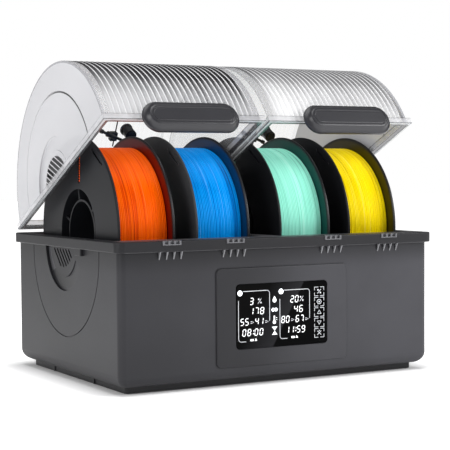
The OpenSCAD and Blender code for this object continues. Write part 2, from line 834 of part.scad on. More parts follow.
// A clip under the crown that holds a short rod with the sensor on it, and the lead along the crown
module humidity_probe(i) color(dark_c) on_lid() translate([lid_starts[i], 0, 0]) {
    at_barrel(probe_at, probe_ang) translate([0, 0, lid_r - lid_t]) {
        translate([-clip_w / 2, -clip_d / 2, -clip_h - 0.22]) cube([clip_w, clip_d, clip_h]);
        translate([0, 0, -4]) rotate([stem_lean, 90, 0]) {
            post(0, 0, -stem_len / 2, stem_len / 2, stem_r);
            post(0, 0, -9, 2, 3.4);
            post(0, 0, -18.5, -15.5, 2.6);
            post(0, 0, 14, stem_len / 2, 2.4);
        }
    }
    at_barrel(lead_at, lead_ang) rod_y(0, -lead_len / 2, lead_len / 2, lid_r - lid_t - 2.1, lead_r);
}

// ---- reels ----

module reel_near_flange(i) color(dark_c) translate([reel_at[i] - reel_w / 2, 0, reel_z])
    rotate([90, 0, 90]) {
        difference() {
            union() {
                cylinder(r = reel_r, h = flange_t);
                cylinder(r = hub_r + hub_t, h = reel_w - flange_t);
            }
            post(0, 0, -past, reel_w - past, hub_r);
            flange_slots();
            // holes and a slot that hold the end of the strand
            for (a = [114, 131]) rotate([0, 0, a]) post(93, 0, -past, flange_t + past, 1.5);
            rotate([0, 0, 122.5]) translate([91, -12, -1]) cube([2, 24, 1.7]);
        }
        // inner ring on its spokes
        difference() {
            union() {
                post(0, 0, 4, 4 + ring_deep, ring_r);
                for (k = [0:spokes - 1]) rotate([0, 0, k * 360 / spokes + 20])
                    translate([ring_r - 1, -spoke_t / 2, 4]) cube([hub_r + 2 - ring_r, spoke_t, ring_deep]);
            }
            post(0, 0, 3, 5 + ring_deep, ring_r - ring_t);
        }
    }

// Radial slots through a flange that show how much filament is left
module flange_slots() {
    for (k = [0:2]) rotate([0, 0, k * 120 + 93])
        translate([slot_r0, -slot_w / 2, -past]) cube([slot_len, slot_w, flange_t + 2 * past]);
}

module reel_far_flange(i) color(dark_c) translate([reel_at[i] + reel_w / 2 - flange_t, 0, reel_z])
    rotate([90, 0, 90]) difference() {
        union() {
            cylinder(r = reel_r, h = flange_t);
            post(0, 0, -8, 1, hub_r);
        }
        post(0, 0, -9, 11, hub_r - 2.6);
        flange_slots();
    }

module filament(i) color(reel_c[i]) translate([reel_at[i] - reel_w / 2 + flange_t + snug, 0, reel_z])
    rotate([90, 0, 90]) difference() {
        wound_w = reel_w - 2 * flange_t - 2 * snug;
        union() {
            cylinder(r = wound_r - 1.2, h = wound_w);
            translate([0, 0, 1.2]) cylinder(r = wound_r, h = wound_w - 2.4);
        }
        translate([0, 0, -past]) cylinder(r = hub_r + hub_t + 0.05, h = reel_w);
    }

tub_shell();
base_plinth();
rubber_feet();
base_screws();
control_panel();
display_glass();
display_board();
power_supply();
power_inlet();
centre_divider();
chamber_liner(-1);  // chamber_liner_left
chamber_liner(1);  // chamber_liner_right
air_duct(-1);  // air_duct_left
air_duct(1);  // air_duct_right
heater(-1);  // heater_left
heater(1);  // heater_right
fan_frame(-1);  // fan_frame_left
fan_frame(1);  // fan_frame_right
fan_rotor(-1);  // fan_rotor_left
fan_rotor(1);  // fan_rotor_right
roller_cradle(-1);  // roller_cradle_left
roller_cradle(1);  // roller_cradle_right
roller_axles();
roller(0, -1);  // roller_1_front
roller(0, 1);  // roller_1_rear
roller(1, -1);  // roller_2_front
roller(1, 1);  // roller_2_rear
roller(2, -1);  // roller_3_front
roller(2, 1);  // roller_3_rear
roller(3, -1);  // roller_4_front
roller(3, 1);  // roller_4_rear
latch_keepers();
hinge_pins();
lid(0);  // lid_left
lid(1);  // lid_right
lid_seal(0);  // lid_seal_left
lid_seal(1);  // lid_seal_right
lid_handle(0);  // lid_handle_left
lid_handle(1);  // lid_handle_right
handle_screws(0);  // handle_screws_left
handle_screws(1);  // handle_screws_right
hinge_arms(0);  // hinge_arms_left
hinge_arms(1);  // hinge_arms_right
vent_plug(0);  // vent_plug_left
vent_plug(1);  // vent_plug_right
humidity_probe(0);  // humidity_probe_left
humidity_probe(1);  // humidity_probe_right
reel_near_flange(0);  // reel_1_near_flange
reel_far_flange(0);  // reel_1_far_flange
filament(0);  // filament_1
reel_near_flange(1);  // reel_2_near_flange
reel_far_flange(1);  // reel_2_far_flange
filament(1);  // filament_2
reel_near_flange(2);  // reel_3_near_flange
reel_far_flange(2);  // reel_3_far_flange
filament(2);  // filament_3
reel_near_flange(3);  // reel_4_near_flange
reel_far_flange(3);  // reel_4_far_flange
filament(3);  // filament_4
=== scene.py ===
"""Looks for the four-reel filament dryer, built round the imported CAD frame."""
import json
import math

import bmesh
import bpy
import numpy as np
from mathutils import Matrix, Vector


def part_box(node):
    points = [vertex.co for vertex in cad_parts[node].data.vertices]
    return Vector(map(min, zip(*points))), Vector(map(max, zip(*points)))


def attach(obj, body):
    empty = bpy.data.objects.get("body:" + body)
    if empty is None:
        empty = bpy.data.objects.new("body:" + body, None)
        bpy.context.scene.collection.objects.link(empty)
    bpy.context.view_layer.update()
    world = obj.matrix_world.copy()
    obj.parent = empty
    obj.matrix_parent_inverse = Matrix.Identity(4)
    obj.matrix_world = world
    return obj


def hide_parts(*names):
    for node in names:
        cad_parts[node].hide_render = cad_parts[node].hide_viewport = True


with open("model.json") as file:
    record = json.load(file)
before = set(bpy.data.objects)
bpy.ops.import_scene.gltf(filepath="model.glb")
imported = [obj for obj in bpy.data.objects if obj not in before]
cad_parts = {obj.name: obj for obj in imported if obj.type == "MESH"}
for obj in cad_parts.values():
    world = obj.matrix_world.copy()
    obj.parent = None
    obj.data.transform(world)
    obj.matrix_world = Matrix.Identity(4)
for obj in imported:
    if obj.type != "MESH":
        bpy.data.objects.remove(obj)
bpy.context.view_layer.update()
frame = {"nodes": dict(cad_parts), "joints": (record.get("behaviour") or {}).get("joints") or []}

MM = 0.001
BROAD = 0.0015           # square metres; a cut piece's faces above this are shaded flat
SIDES = ("left", "right")
REELS = (1, 2, 3, 4)
JOINTS = {j["name"]: j for j in frame["joints"]}


# ---------------------------------------------------------------- measures, in millimetres

def span(name):
    """Lowest and highest corners of a CAD node, in millimetres."""
    lo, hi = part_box(name)
    return [v / MM for v in lo], [v / MM for v in hi]


TUB_LO, TUB_HI = span("tub_shell")
PANEL_FRONT = span("control_panel")[0][1]

RIM_W, RIM_D, RIM_Z, RIM_H, RIM_OUT = 373.0, 278.0, TUB_HI[2], 10.5, 4.25
BODY_W, BODY_D = RIM_W - 2 * RIM_OUT, RIM_D - 2 * RIM_OUT
UNDER_RIM = RIM_Z - RIM_H
WALL = 3.0
LOW_R, CORNER_R = 12.0, 7.0
TUB_Z = TUB_LO[2]
FRONT = -BODY_D / 2
SIDE_RING_Z, SIDE_RING_R = 133.0, 87.5
PANEL_X, PANEL_Z = -1.0, 69.5

HINGE = JOINTS["left_lid_hinge"]
HINGE_Y, HINGE_Z = HINGE["pos_m"][1] / MM, HINGE["pos_m"][2] / MM
OPEN = -math.radians(HINGE["range_deg"][0])
LID_LEN, LID_R, LID_T, FRAME_H = 182.5, 129.5, 2.5, 6.5
LID_Z = RIM_Z + 0.5
LID_Y0, LID_Y1 = -135.3, 131.0
LID_CY, LID_CZ = -5.5, LID_Z - 10.7
LID_RING_Y, LID_RING_Z, LID_RING_R = -3.0, 148.0, 90.5
BARREL_X0, BARREL_X1 = 0.6, 176.5
BAND, RIBS = 7.0, 26
LID_X0 = {s: span(f"lid_{s}")[0][0] for s in SIDES}
LATCH_OUT = 35.3
LATCH_X = [LID_X0[s] + LID_LEN / 2 + k * LATCH_OUT for s in SIDES for k in (-1, 1)]
HINGE_X = [LID_X0[s] + a for s in SIDES for a in (50.0, 132.5)]

REEL_R, REEL_W, WOUND_R, FLANGE_T, HUB_R = 100.0, 63.0, 88.0, 3.0, 45.0
REEL_Z = JOINTS["reel_1_spin"]["pos_m"][2] / MM
REEL_X = {i: JOINTS[f"reel_{i}_spin"]["pos_m"][0] / MM for i in REELS}
SLOT_ANGLES = (93, 213, 333)

VENT_Y, VENT_Z, VENT_R, VENT_SLOT, VENT_PITCH = 3.0, 145.0, 29.0, 2.6, 5.4


# ---------------------------------------------------------------- materials

class Out:
    """A node's output that takes arithmetic, so that a pattern reads as a formula."""

    def __init__(self, look, socket):
        self.look, self.socket = look, socket

    def maths(self, operation, *others):
        made = self.look.add("Math", operation=operation)
        for value, into in zip((self, *others), made.inputs):
            put(value, into)
        return Out(self.look, made.outputs[0])

    def __add__(self, other):
        return self.maths("ADD", other)

    def __sub__(self, other):
        return self.maths("SUBTRACT", other)

    def __mul__(self, other):
        return self.maths("MULTIPLY", other)

    def between(self, low, high, to_low=0.0, to_high=1.0):
        """Eased from to_low at low to to_high at high, and level beyond."""
        made = self.look.add("MapRange", interpolation_type="SMOOTHSTEP", Value=self, From_Min=low, From_Max=high,
                             To_Min=to_low, To_Max=to_high)
        return Out(self.look, made.outputs["Result"])


def put(value, socket):
    """Links a node's output into a socket, or sets the socket's own value."""
    if isinstance(value, Out):
        value.look.mat.node_tree.links.new(value.socket, socket)
    else:
        socket.default_value = (*value, 1) if socket.type == "RGBA" else value


def blend(factor, low, high):
    """Two colours, each a triple or a node's output, mixed by a factor."""
    made = factor.look.add("Mix", data_type="RGBA")
    for k, value in ((0, factor), (6, low), (7, high)):
        put(value, made.inputs[k])
    return Out(factor.look, made.outputs[2])


def polar(y, z, cy, cz):
    """Distance from an axis along X, and the angle from its top towards the front."""
    dy, dz = y - cy * MM, z - cz * MM
    return (dy * dy + dz * dz).maths("POWER", 0.5), (dy * -1.0).maths("ARCTAN2", dz)


def scaled_colour(colour, by):
    return [min(1.0, c * by) for c in colour]


class Look:
    """A material and the nodes that paint it. Patterns are in the object's own metres."""

    def __init__(self, name, colour, rough, **sockets):
        self.mat = bpy.data.materials.new(name)
        self.mat.use_nodes = True
        self.bsdf = self.mat.node_tree.nodes["Principled BSDF"]
        self.set(Base_Color=colour, Roughness=rough, **sockets)

    def set(self, **sockets):
        for key, value in sockets.items():
            put(value, self.bsdf.inputs[key.replace("_", " ")])

    def add(self, kind, **values):
        """A new node; each value goes to the input of that name, or else to the setting."""
        made = self.mat.node_tree.nodes.new("ShaderNode" + kind)
        for key, value in values.items():
            name = key.replace("_", " ")
            if name in made.inputs:
                put(value, made.inputs[name])
            else:
                setattr(made, key, value)
        return made

    def out(self, kind, output, **values):
        return Out(self, self.add(kind, **values).outputs[output])

    def coords(self):
        return self.out("TexCoord", "Object")

    def xyz(self, vector=None):
        made = self.add("SeparateXYZ", Vector=vector or self.coords())
        return [Out(self, socket) for socket in made.outputs]

    def lid_space(self):
        """Coordinates of a lid's surface as if it were shut."""
        return self.xyz(self.out("VectorRotate", "Vector", rotation_type="X_AXIS", Vector=self.coords(),
                                 Center=(0, HINGE_Y * MM, HINGE_Z * MM), Angle=OPEN))

    def painted(self):
        """The colour made so far."""
        return Out(self, self.bsdf.inputs["Base Color"].links[0].from_socket)

    def noise(self, scale, detail=3.0, rough=0.5, stretch=None):
        vector = self.out("Mapping", "Vector", Vector=self.coords(), Scale=stretch) if stretch else self.coords()
        return self.out("TexNoise", "Fac", Scale=scale, Detail=detail, Roughness=rough, Vector=vector)

    def ramp(self, source, low, high, at=(0.35, 0.65)):
        """Two colours blended over a range of a texture's value."""
        made = self.add("ValToRGB", Fac=source)
        for stop, position, colour in zip(made.color_ramp.elements, at, (low, high)):
            stop.position, stop.color = position, (*colour, 1)
        return Out(self, made.outputs["Color"])

    def bump(self, height, strength, distance):
        self.set(Normal=self.out("Bump", "Normal", Height=height, Strength=strength, Distance=distance))

    def vary_rough(self, source, low, high):
        self.set(Roughness=self.out("MapRange", "Result", Value=source, To_Min=low, To_Max=high))

    def see_through(self, haze, more=0.5):
        """Alpha that rises from the haze to nearly solid where the surface is seen edge-on."""
        facing = self.out("LayerWeight", "Facing", Blend=0.3)
        behind = self.out("NewGeometry", "Backfacing")
        alpha = (facing * more + haze) * (behind * -0.72 + 1.0)
        alpha.socket.node.use_clamp = True
        self.set(Alpha=alpha)


def moulded(name, colour, rough=0.42, grain=1500.0, depth=0.00006, **sockets):
    """Moulded plastic: soft tone drift and a spark-eroded grain."""
    look = Look(name, colour, rough, **sockets)
    look.set(Base_Color=look.ramp(look.noise(9.0, 4.0), scaled_colour(colour, 0.86), scaled_colour(colour, 1.14)))
    fine = look.noise(grain, 2.0)
    look.vary_rough(fine, rough - 0.06, rough + 0.08)
    look.bump(fine, 0.35, depth)
    return look


def clear_plastic(name, tint, rough, haze, more=0.5):
    """Clear lid plastic: seen through, with a light haze."""
    look = Look(name, tint, rough, IOR=1.5)
    look.set(Base_Color=look.ramp(look.noise(24.0), scaled_colour(tint, 0.95), tint))
    look.bump(look.noise(260.0, 2.0), 0.12, 0.00015)
    look.see_through(haze, more)
    return look


def ribbed(name, calm, strong, calm_haze, strong_haze):
    """Barrel plastic whose ribs show strongly over the crown and fade towards the front and the back: painted
    highlights on the crests and painted dark lines in the grooves, where the ribs bend the light; the right lid is
    painted paler.
    """
    look = Look(name, calm, 0.12, IOR=1.5)
    x, y, z = look.lid_space()
    angle = polar(y, z, LID_CY, LID_CZ)[1]
    along = (x * 5.4 + 1.0).maths("FRACT") * 0.32
    wander = look.noise(1.0, 2.0, stretch=(70.0, 12.0, 12.0)) * 0.35
    # painted light: the ribs' highlights and dark lines are strongest over the crown
    front = (angle - (along + wander)).between(0.50, 1.22, 1.0, 0.06)
    strength = front * angle.between(-0.35, 0.1) * x.between(-0.02, 0.03, 1.0, 0.78)
    # painted light: the right lid paler, as if lit from behind
    bright = x.between(0.0, 0.03, 0.0, 0.7)
    cloud = look.ramp(look.noise(30.0), scaled_colour(calm, 0.93), calm)
    look.set(Base_Color=blend(strength, blend(bright, cloud, (0.96, 0.96, 0.97)), strong))
    look.bump(look.noise(260.0, 2.0), 0.15, 0.00015)
    haze = strength * (strong_haze - calm_haze) + (bright * 0.25 + calm_haze)
    look.see_through(haze * angle.between(-0.4, 0.05, 0.22, 1.0), 0.35)
    return look


def end_plastic_painted_shade(name, tint, haze):
    """Frosted end wall with painted shade: dark in its ring groove and in marks at its slots across the whole vent,
    shaded at the edge of its dish, and darker towards the bottom.
    """
    look = Look(name, tint, 0.3)
    _, y, z = look.lid_space()
    far, angle = polar(y, z, LID_RING_Y, LID_RING_Z)
    line = far.between(0.0885, 0.0900) * far.between(0.0915, 0.0900) * angle.between(-0.15, 0.35)
    far, angle = polar(y, z, VENT_Y, VENT_Z)
    rim = far.between(0.036, 0.050) * far.between(0.052, 0.050) * angle.between(0.5, -1.2, 0.0, 0.55)
    slant = (y - z - (VENT_Y - VENT_Z) * MM) * (0.7071 / (VENT_PITCH * MM)) + 50.5
    slant = (slant.maths("FRACT") - 0.5).maths("ABSOLUTE")
    # painted shade: a dark mark at every slot's place across the vent, whether cut or not
    slot = slant.between(0.42, 0.36) * far.between(0.0300, 0.0285)
    # painted shade: darker towards the bottom, over a random tone
    shade = look.noise(9.0) * 0.22 - 0.02 + z.between(0.23, 0.15, -0.12, 0.16)
    ringed = blend(rim, blend(shade, tint, (0.30, 0.30, 0.32)), (0.20, 0.20, 0.22))
    look.set(Base_Color=blend(line.maths("MAXIMUM", slot), ringed, (0.012, 0.012, 0.014)))
    look.bump(look.noise(300.0, 2.0), 0.2, 0.00012)
    look.see_through(slot * (1.0 - haze) + haze, 0.2)
    return look


def rail_plastic(name, tint, haze):
    """The lid's bottom frame, with dark lines where its edges bend the light."""
    look = Look(name, tint, 0.1)
    z = look.lid_space()[2]
    low, high = LID_Z * MM, (LID_Z + FRAME_H) * MM
    edge = z.between(low + 0.0012, low + 0.0002).maths("MAXIMUM", z.between(high - 0.0012, high - 0.0002))
    fleck = look.ramp(look.noise(90.0), scaled_colour(tint, 0.8), tint)
    look.set(Base_Color=blend(edge, fleck, (0.05, 0.05, 0.055)))
    look.bump(look.noise(320.0, 2.0), 0.1, 0.0001)
    look.see_through(edge * 0.35 + haze, 0.3)
    return look


# the dark that painted shade blends towards, on the tub and on its panel
PAINTED_SHADE = (0.005, 0.005, 0.006)


def tub_painted_shade(look):
    """Painted shade on a tub: darker to its left and back, on its rim, as a painted shadow under its lip and in the
    dishes round its vents; painted highlights pale its gussets.
    """
    x, y, z = look.xyz()
    far = polar(y, z, VENT_Y, VENT_Z)[0]
    lean = ((y - VENT_Y * MM) * 0.75 + (z - VENT_Z * MM) * -0.66).maths("DIVIDE", far.maths("MAXIMUM", 0.001))
    ring = far.between(0.0503, 0.0495) * far.between(0.032, 0.044, 0.55, 1.0)
    outside = x.maths("ABSOLUTE").between((BODY_W / 2 - 3) * MM, (BODY_W / 2 - 2.4) * MM)
    below = z.between(UNDER_RIM * MM, (UNDER_RIM - 0.4) * MM)
    dish = ring * lean.between(-0.1, 0.75, 0.12, 0.72) * (outside * below)
    under = z.between((UNDER_RIM - 26) * MM, UNDER_RIM * MM, 0.0, 0.62)
    lip = z.between(UNDER_RIM * MM, (UNDER_RIM + 0.3) * MM) * x.between(-0.18, 0.12, 0.05, 0.45)
    tone = look.painted()
    # painted shade: darker to the left and the back, on the rim towards the right, and under the lip and in the dishes
    for factor in (x.between(-0.2, 0.14, 0.5, 0.0), y.between(-0.09, 0.12, 0.0, 0.25), lip,
                   under.maths("MAXIMUM", dish)):
        tone = blend(factor, tone, PAINTED_SHADE)
    # painted highlight: the gussets under the rim are paler
    gusset = y.between((FRONT - 0.15) * MM, (FRONT - 0.5) * MM)
    gusset = gusset * z.between((UNDER_RIM - 0.1) * MM, (UNDER_RIM - 0.5) * MM)
    look.set(Base_Color=blend(gusset, tone, (0.17, 0.17, 0.18)))
    return look


def panel_painted_shade(look):
    """Painted shade on the front panel's plastic: darker towards its left side."""
    look.set(Base_Color=blend(look.xyz()[0].between(-0.08, 0.06, 0.62, 0.0), look.painted(), PAINTED_SHADE))
    return look


def far_flange_painted_reflection(name, tint):
    """A reel's far flange: black, with a painted reflection of the colour of the filament beside it on its inner face.
    """
    look = moulded(name, (0.010, 0.010, 0.012), 0.3, Specular_IOR_Level=0.3)
    _, y, z = look.xyz()
    facing = look.xyz(look.out("NewGeometry", "Normal"))[0]
    near = polar(y, z, 0.0, REEL_Z)[0].between(0.0990, 0.0955) * facing.between(-0.6, -0.95)
    look.set(Base_Color=blend(near, look.painted(), tint))
    return look


def wound(name, colour, deep):
    """Wound filament: satin strands, each a little different in tone, with painted shade in dark lines between some
    turns and painted highlights in paler streaks.
    """
    look = Look(name, colour, 0.3, Specular_IOR_Level=0.06)
    fine = look.noise(1.0, 2.0, 0.6, stretch=(760.0, 6.0, 6.0))
    tone = look.noise(1.0, 2.0, stretch=(150.0, 5.0, 5.0)) * 0.35 + fine * 0.65
    base = look.ramp(tone, deep, colour, (0.38, 0.54))
    # painted shade between some turns, and painted highlights where the tone runs high
    dark = blend(tone.between(0.385, 0.33), base, scaled_colour(deep, 0.55))
    pale = [min(1.0, c * 0.75 + 0.25) for c in colour]
    look.set(Base_Color=blend(tone.between(0.58, 0.68, 0.0, 0.5), dark, pale))
    look.vary_rough(fine, 0.22, 0.42)
    look.bump(fine, 0.4, 0.00014)
    return look


def brushed(name, colour, rough):
    look = Look(name, colour, rough, Metallic=1.0)
    lines = look.noise(1.0, stretch=(60.0, 1400.0, 1400.0))
    look.set(Base_Color=look.ramp(lines, scaled_colour(colour, 0.8), colour))
    look.vary_rough(lines, rough - 0.08, rough + 0.12)
    return look


def lit(name, colour, strength):
    """Lit display marks, slightly uneven like a real backlight."""
    look = Look(name, colour, 0.4, Emission_Strength=strength)
    glow = look.ramp(look.noise(160.0, 2.0), scaled_colour(colour, 0.86), colour)
    look.set(Base_Color=glow, Emission_Color=glow)
    return look


def smoked_glass_painted_reflection(name):
    """Display glass, near black, with a painted reflection: a little paler on one side of a slanting edge."""
    look = Look(name, (0.002, 0.002, 0.002), 0.06, Specular_IOR_Level=0.02)
    look.vary_rough(look.noise(70.0, 5.0, 0.6), 0.05, 0.14)
    x, _, z = look.xyz()
    # painted reflection: paler towards a slanting line, darkest just past it
    across = look.out("MapRange", "Result", Value=z * -0.578 + x, From_Min=-0.135, From_Max=0.064)
    tone = look.ramp(across, (0.002, 0.002, 0.002), (0.017, 0.017, 0.019), (0.30, 0.497))
    tone.socket.node.color_ramp.elements.new(0.503).color = (0.0012, 0.0012, 0.0014, 1)
    look.set(Base_Color=tone)
    return look


def backdrop_paper_painted_shadow():
    """White paper that glows, with a painted shadow: its glow falls off softly round the object's foot."""
    look = Look("backdrop_paper_painted_shadow", (0.93, 0.93, 0.935), 0.7, Emission_Color=(1, 1, 1), Specular_IOR_Level=0.0)
    look.set(Base_Color=look.ramp(look.noise(120.0), (0.92, 0.92, 0.925), (0.94, 0.94, 0.945)))
    x, y, _ = look.xyz()
    dx, dy = [(v.maths("ABSOLUTE") - half).maths("MAXIMUM", 0.0) for v, half in ((x, 0.168), (y, 0.119))]
    away = (dx * dx + dy * dy).maths("POWER", 0.5)
    # painted shadow: less glow close to the plinth
    look.set(Emission_Strength=away.between(0.0, 0.07, 0.05, 0.86) + away.between(0.02, 0.18, 0.0, 0.14))
    return look


GREY = (0.043, 0.043, 0.049)
REEL_PLASTIC = dict(rough=0.38, grain=900.0, depth=0.00004, Specular_IOR_Level=0.18)
LOOKS = {
    "tub": tub_painted_shade(moulded("tub_plastic", GREY, 0.4, Specular_IOR_Level=0.2)),
    "panel": panel_painted_shade(moulded("panel_plastic", (0.041, 0.041, 0.0465), 0.36, Specular_IOR_Level=0.2)),
    "keeper": moulded("keeper_plastic", (0.11, 0.11, 0.12), 0.42, Specular_IOR_Level=0.35),
    "handle": moulded("handle_plastic", (0.021, 0.021, 0.025), 0.33, Specular_IOR_Level=0.4),
    "black": moulded("black_plastic", (0.010, 0.010, 0.012), 0.4, Specular_IOR_Level=0.32),
    "inner": moulded("inner_plastic", (0.06, 0.06, 0.066), 0.5),
    "roller": moulded("roller_plastic", (0.16, 0.16, 0.17), 0.38),
    "reel": moulded("reel_plastic", (0.0085, 0.009, 0.011), **REEL_PLASTIC),
    # painted light: a paler copy of the reel plastic
    "reel_lit": moulded("reel_plastic_lit", (0.040, 0.040, 0.043), **REEL_PLASTIC),
    "rubber": moulded("foot_rubber", (0.012, 0.012, 0.012), 0.75, grain=700.0, depth=0.0001),
    "clear": clear_plastic("clear_plastic", (0.80, 0.80, 0.82), 0.08, 0.05, 0.22),
    "crest": ribbed("clear_crests", (0.58, 0.58, 0.60), (0.80, 0.80, 0.82), 0.36, 0.62),
    "groove": ribbed("clear_grooves", (0.42, 0.42, 0.44), (0.008, 0.008, 0.010), 0.44, 0.94),
    "frost": end_plastic_painted_shade("frosted_plastic", (0.56, 0.56, 0.58), 0.84),
    "band": clear_plastic("clear_bands", (0.20, 0.20, 0.22), 0.16, 0.34, 0.3),
    "rail": rail_plastic("clear_rail", (0.62, 0.62, 0.64), 0.42),
    "seal": clear_plastic("seal_silicone", (0.62, 0.64, 0.66), 0.45, 0.5),
    "glass": smoked_glass_painted_reflection("display_glass"),
    "paper": backdrop_paper_painted_shadow(),
    "steel": brushed("steel", (0.55, 0.55, 0.56), 0.3),
    "fins": brushed("fin_aluminium", (0.72, 0.73, 0.74), 0.32),
    "board": moulded("solder_mask", (0.012, 0.09, 0.035), 0.3, grain=300.0),
    "white": lit("lit_white", (0.92, 0.93, 0.95), 0.78),
    "dim": lit("lit_dim", (0.50, 0.51, 0.54), 0.62),
}

# each reel's filament: its name, its colour, its darker tone, also used for the painted shade between strands, and the
# painted reflection of its colour on the flange beside it
FILAMENTS = {
    1: ("filament_orange", (1.0, 0.13, 0.0), (0.84, 0.07, 0.0), (0.110, 0.002, 0.001)),
    2: ("filament_blue", (0.0, 0.31, 0.86), (0.0, 0.205, 0.68), (0.002, 0.030, 0.085)),
    3: ("filament_mint", (0.36, 0.92, 0.74), (0.27, 0.80, 0.62), (0.003, 0.052, 0.044)),
    4: ("filament_yellow", (0.98, 0.76, 0.002), (0.80, 0.57, 0.001), (0.034, 0.028, 0.002)),
}
for reel_number, (filament, colour, deep, tint) in FILAMENTS.items():
    LOOKS[f"wound_{reel_number}"] = wound(filament, colour, deep)
    LOOKS[f"far_{reel_number}"] = far_flange_painted_reflection(f"reel_plastic_far_{reel_number}", tint)
MAT = {key: look.mat for key, look in LOOKS.items()}


# ---------------------------------------------------------------- mesh tools

def build(name, part, body, look, smooth=35.0, at=None, look_of=None):
    """A piece from (verts, faces) in millimetres; look_of gives a face's place in a list of looks."""
    mesh = bpy.data.meshes.new(name)
    place = at or Matrix()
    mesh.from_pydata([(place @ Vector(v)) * MM for v in part[0]], [], part[1])
    for key in look if isinstance(look, list) else [look]:
        mesh.materials.append(MAT[key])
    if look_of:
        for i, poly in enumerate(mesh.polygons):
            poly.material_index = look_of(i)
    made = bmesh.new()
    made.from_mesh(mesh)
    bmesh.ops.remove_doubles(made, verts=made.verts, dist=1e-7)
    bmesh.ops.recalc_face_normals(made, faces=made.faces)
    made.to_mesh(mesh)
    made.free()
    mesh.shade_smooth()
    mesh.set_sharp_from_angle(angle=math.radians(smooth))
    piece = bpy.data.objects.new(name, mesh)
    bpy.context.scene.collection.objects.link(piece)
    even(piece)
    if body:
        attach(piece, body)
    return piece


def even(piece):
    """Large flat faces keep their own normals, so they don't shade like a pillow."""
    step = piece.modifiers.new("even", "WEIGHTED_NORMAL")
    step.keep_sharp = True
    step.weight = 100


def grow(*parts):
    """Joins (verts, faces) parts into one."""
    verts, faces = [], []
    for v, f in parts:
        n = len(verts)
        verts += list(v)
        faces += [tuple(i + n for i in face) for face in f]
    return verts, faces


def loft(rings, closed=True):
    """Quads between rings of equal length, capped at both ends when closed."""
    n = len(rings[0])
    verts = [v for ring in rings for v in ring]
    faces = []
    for i in range(len(rings) - 1):
        for j in range(n):
            k = (j + 1) % n
            faces.append((i * n + j, i * n + k, (i + 1) * n + k, (i + 1) * n + j))
    if closed:
        faces.append(tuple(range(n))[::-1])
        faces.append(tuple(range((len(rings) - 1) * n, len(rings) * n)))
    return verts, faces


def rounded(hx, hy, r, steps=8):
    """A rounded rectangle's outline about the origin."""
    r = max(0.01, min(r, hx - 0.01, hy - 0.01))
    points = []
    for cx, cy, start in ((1, 1, 0), (-1, 1, 90), (-1, -1, 180), (1, -1, 270)):
        for i in range(steps + 1):
            a = math.radians(start + 90 * i / steps)
            points.append((cx * (hx - r) + r * math.cos(a), cy * (hy - r) + r * math.sin(a)))
    return points


def quarter(r, steps=4):
    """(inset, rise) pairs round a quarter circle, from fully inset to flush."""
    turns = [math.pi / 2 * i / steps for i in range(steps + 1)]
    return [(r * (1 - math.sin(a)), r * (1 - math.cos(a))) for a in turns]


def block(x0, x1, y0, y1, z0, z1, r=0.0, edge=0.0, steps=5):
    """A box with rounded upright corners and rounded top and bottom edges."""
    cx, cy, hx, hy = (x0 + x1) / 2, (y0 + y1) / 2, (x1 - x0) / 2, (y1 - y0) / 2
    levels = [(0, z0), (0, z1)]
    if edge:
        levels = [(i, z0 + h) for i, h in quarter(edge)] + [(i, z1 - h) for i, h in quarter(edge)[::-1]]
    r = max(r, edge)
    outline = [rounded(hx - i, hy - i, r - i if r else 0, steps) for i, z in levels]
    return loft([[(cx + x, cy + y, z) for x, y in ring] for ring, (i, z) in zip(outline, levels)])


def box_part(x0, x1, y0, y1, z0, z1):
    return block(x0, x1, y0, y1, z0, z1, steps=1)


def facing_ring(cx, cz, y, hw, hh, r, steps=8):
    """A rounded rectangle that faces -Y."""
    return [(cx + x, y, cz + z) for x, z in rounded(hw, hh, r, steps)]


def plaque(cx, cz, w, h, r, y_back, y_front, edge):
    """A rounded plate facing -Y, with a rounded front edge."""
    levels = [(0, y_back)] + [(i, y_front + d) for i, d in quarter(edge)[::-1]]
    return loft([facing_ring(cx, cz, y, w / 2 - i, h / 2 - i, r - i) for i, y in levels])


def lathe(profile, steps=160, y0=0.0, z0=0.0, start=0.0, stop=360.0):
    """A closed (x, radius) profile turned about an axis along X."""
    full = stop - start >= 360
    count = steps if full else steps + 1
    verts, faces = [], []
    n = len(profile)
    for i in range(count):
        a = math.radians(start + (stop - start) * i / steps)
        verts += [(x, y0 + r * math.sin(a), z0 + r * math.cos(a)) for x, r in profile]
    for i in range(count if full else count - 1):
        for j in range(n):
            k, m = (j + 1) % n, (i + 1) % count
            faces.append((i * n + j, i * n + k, m * n + k, m * n + j))
    if not full:
        faces += [tuple(range(n))[::-1], tuple(range((count - 1) * n, count * n))]
    return verts, faces


def sector(face, inward, y0, z0, r0, r1, a0, a1, depth, steps):
    """A cutter shaped like part of a ring sunk into a side wall; depth(angle) is in millimetres.
    Angles are from straight down, turning towards the back."""
    rings = []
    for i in range(steps + 1):
        a = math.radians(a0 + (a1 - a0) * i / steps)
        proud, sunk = face - inward * 2, face + inward * depth(a)
        rings.append([(x, y0 + r * math.sin(a), z0 - r * math.cos(a))
                      for r, x in ((r0, proud), (r1, proud), (r1, sunk), (r0, sunk))])
    return loft(rings)


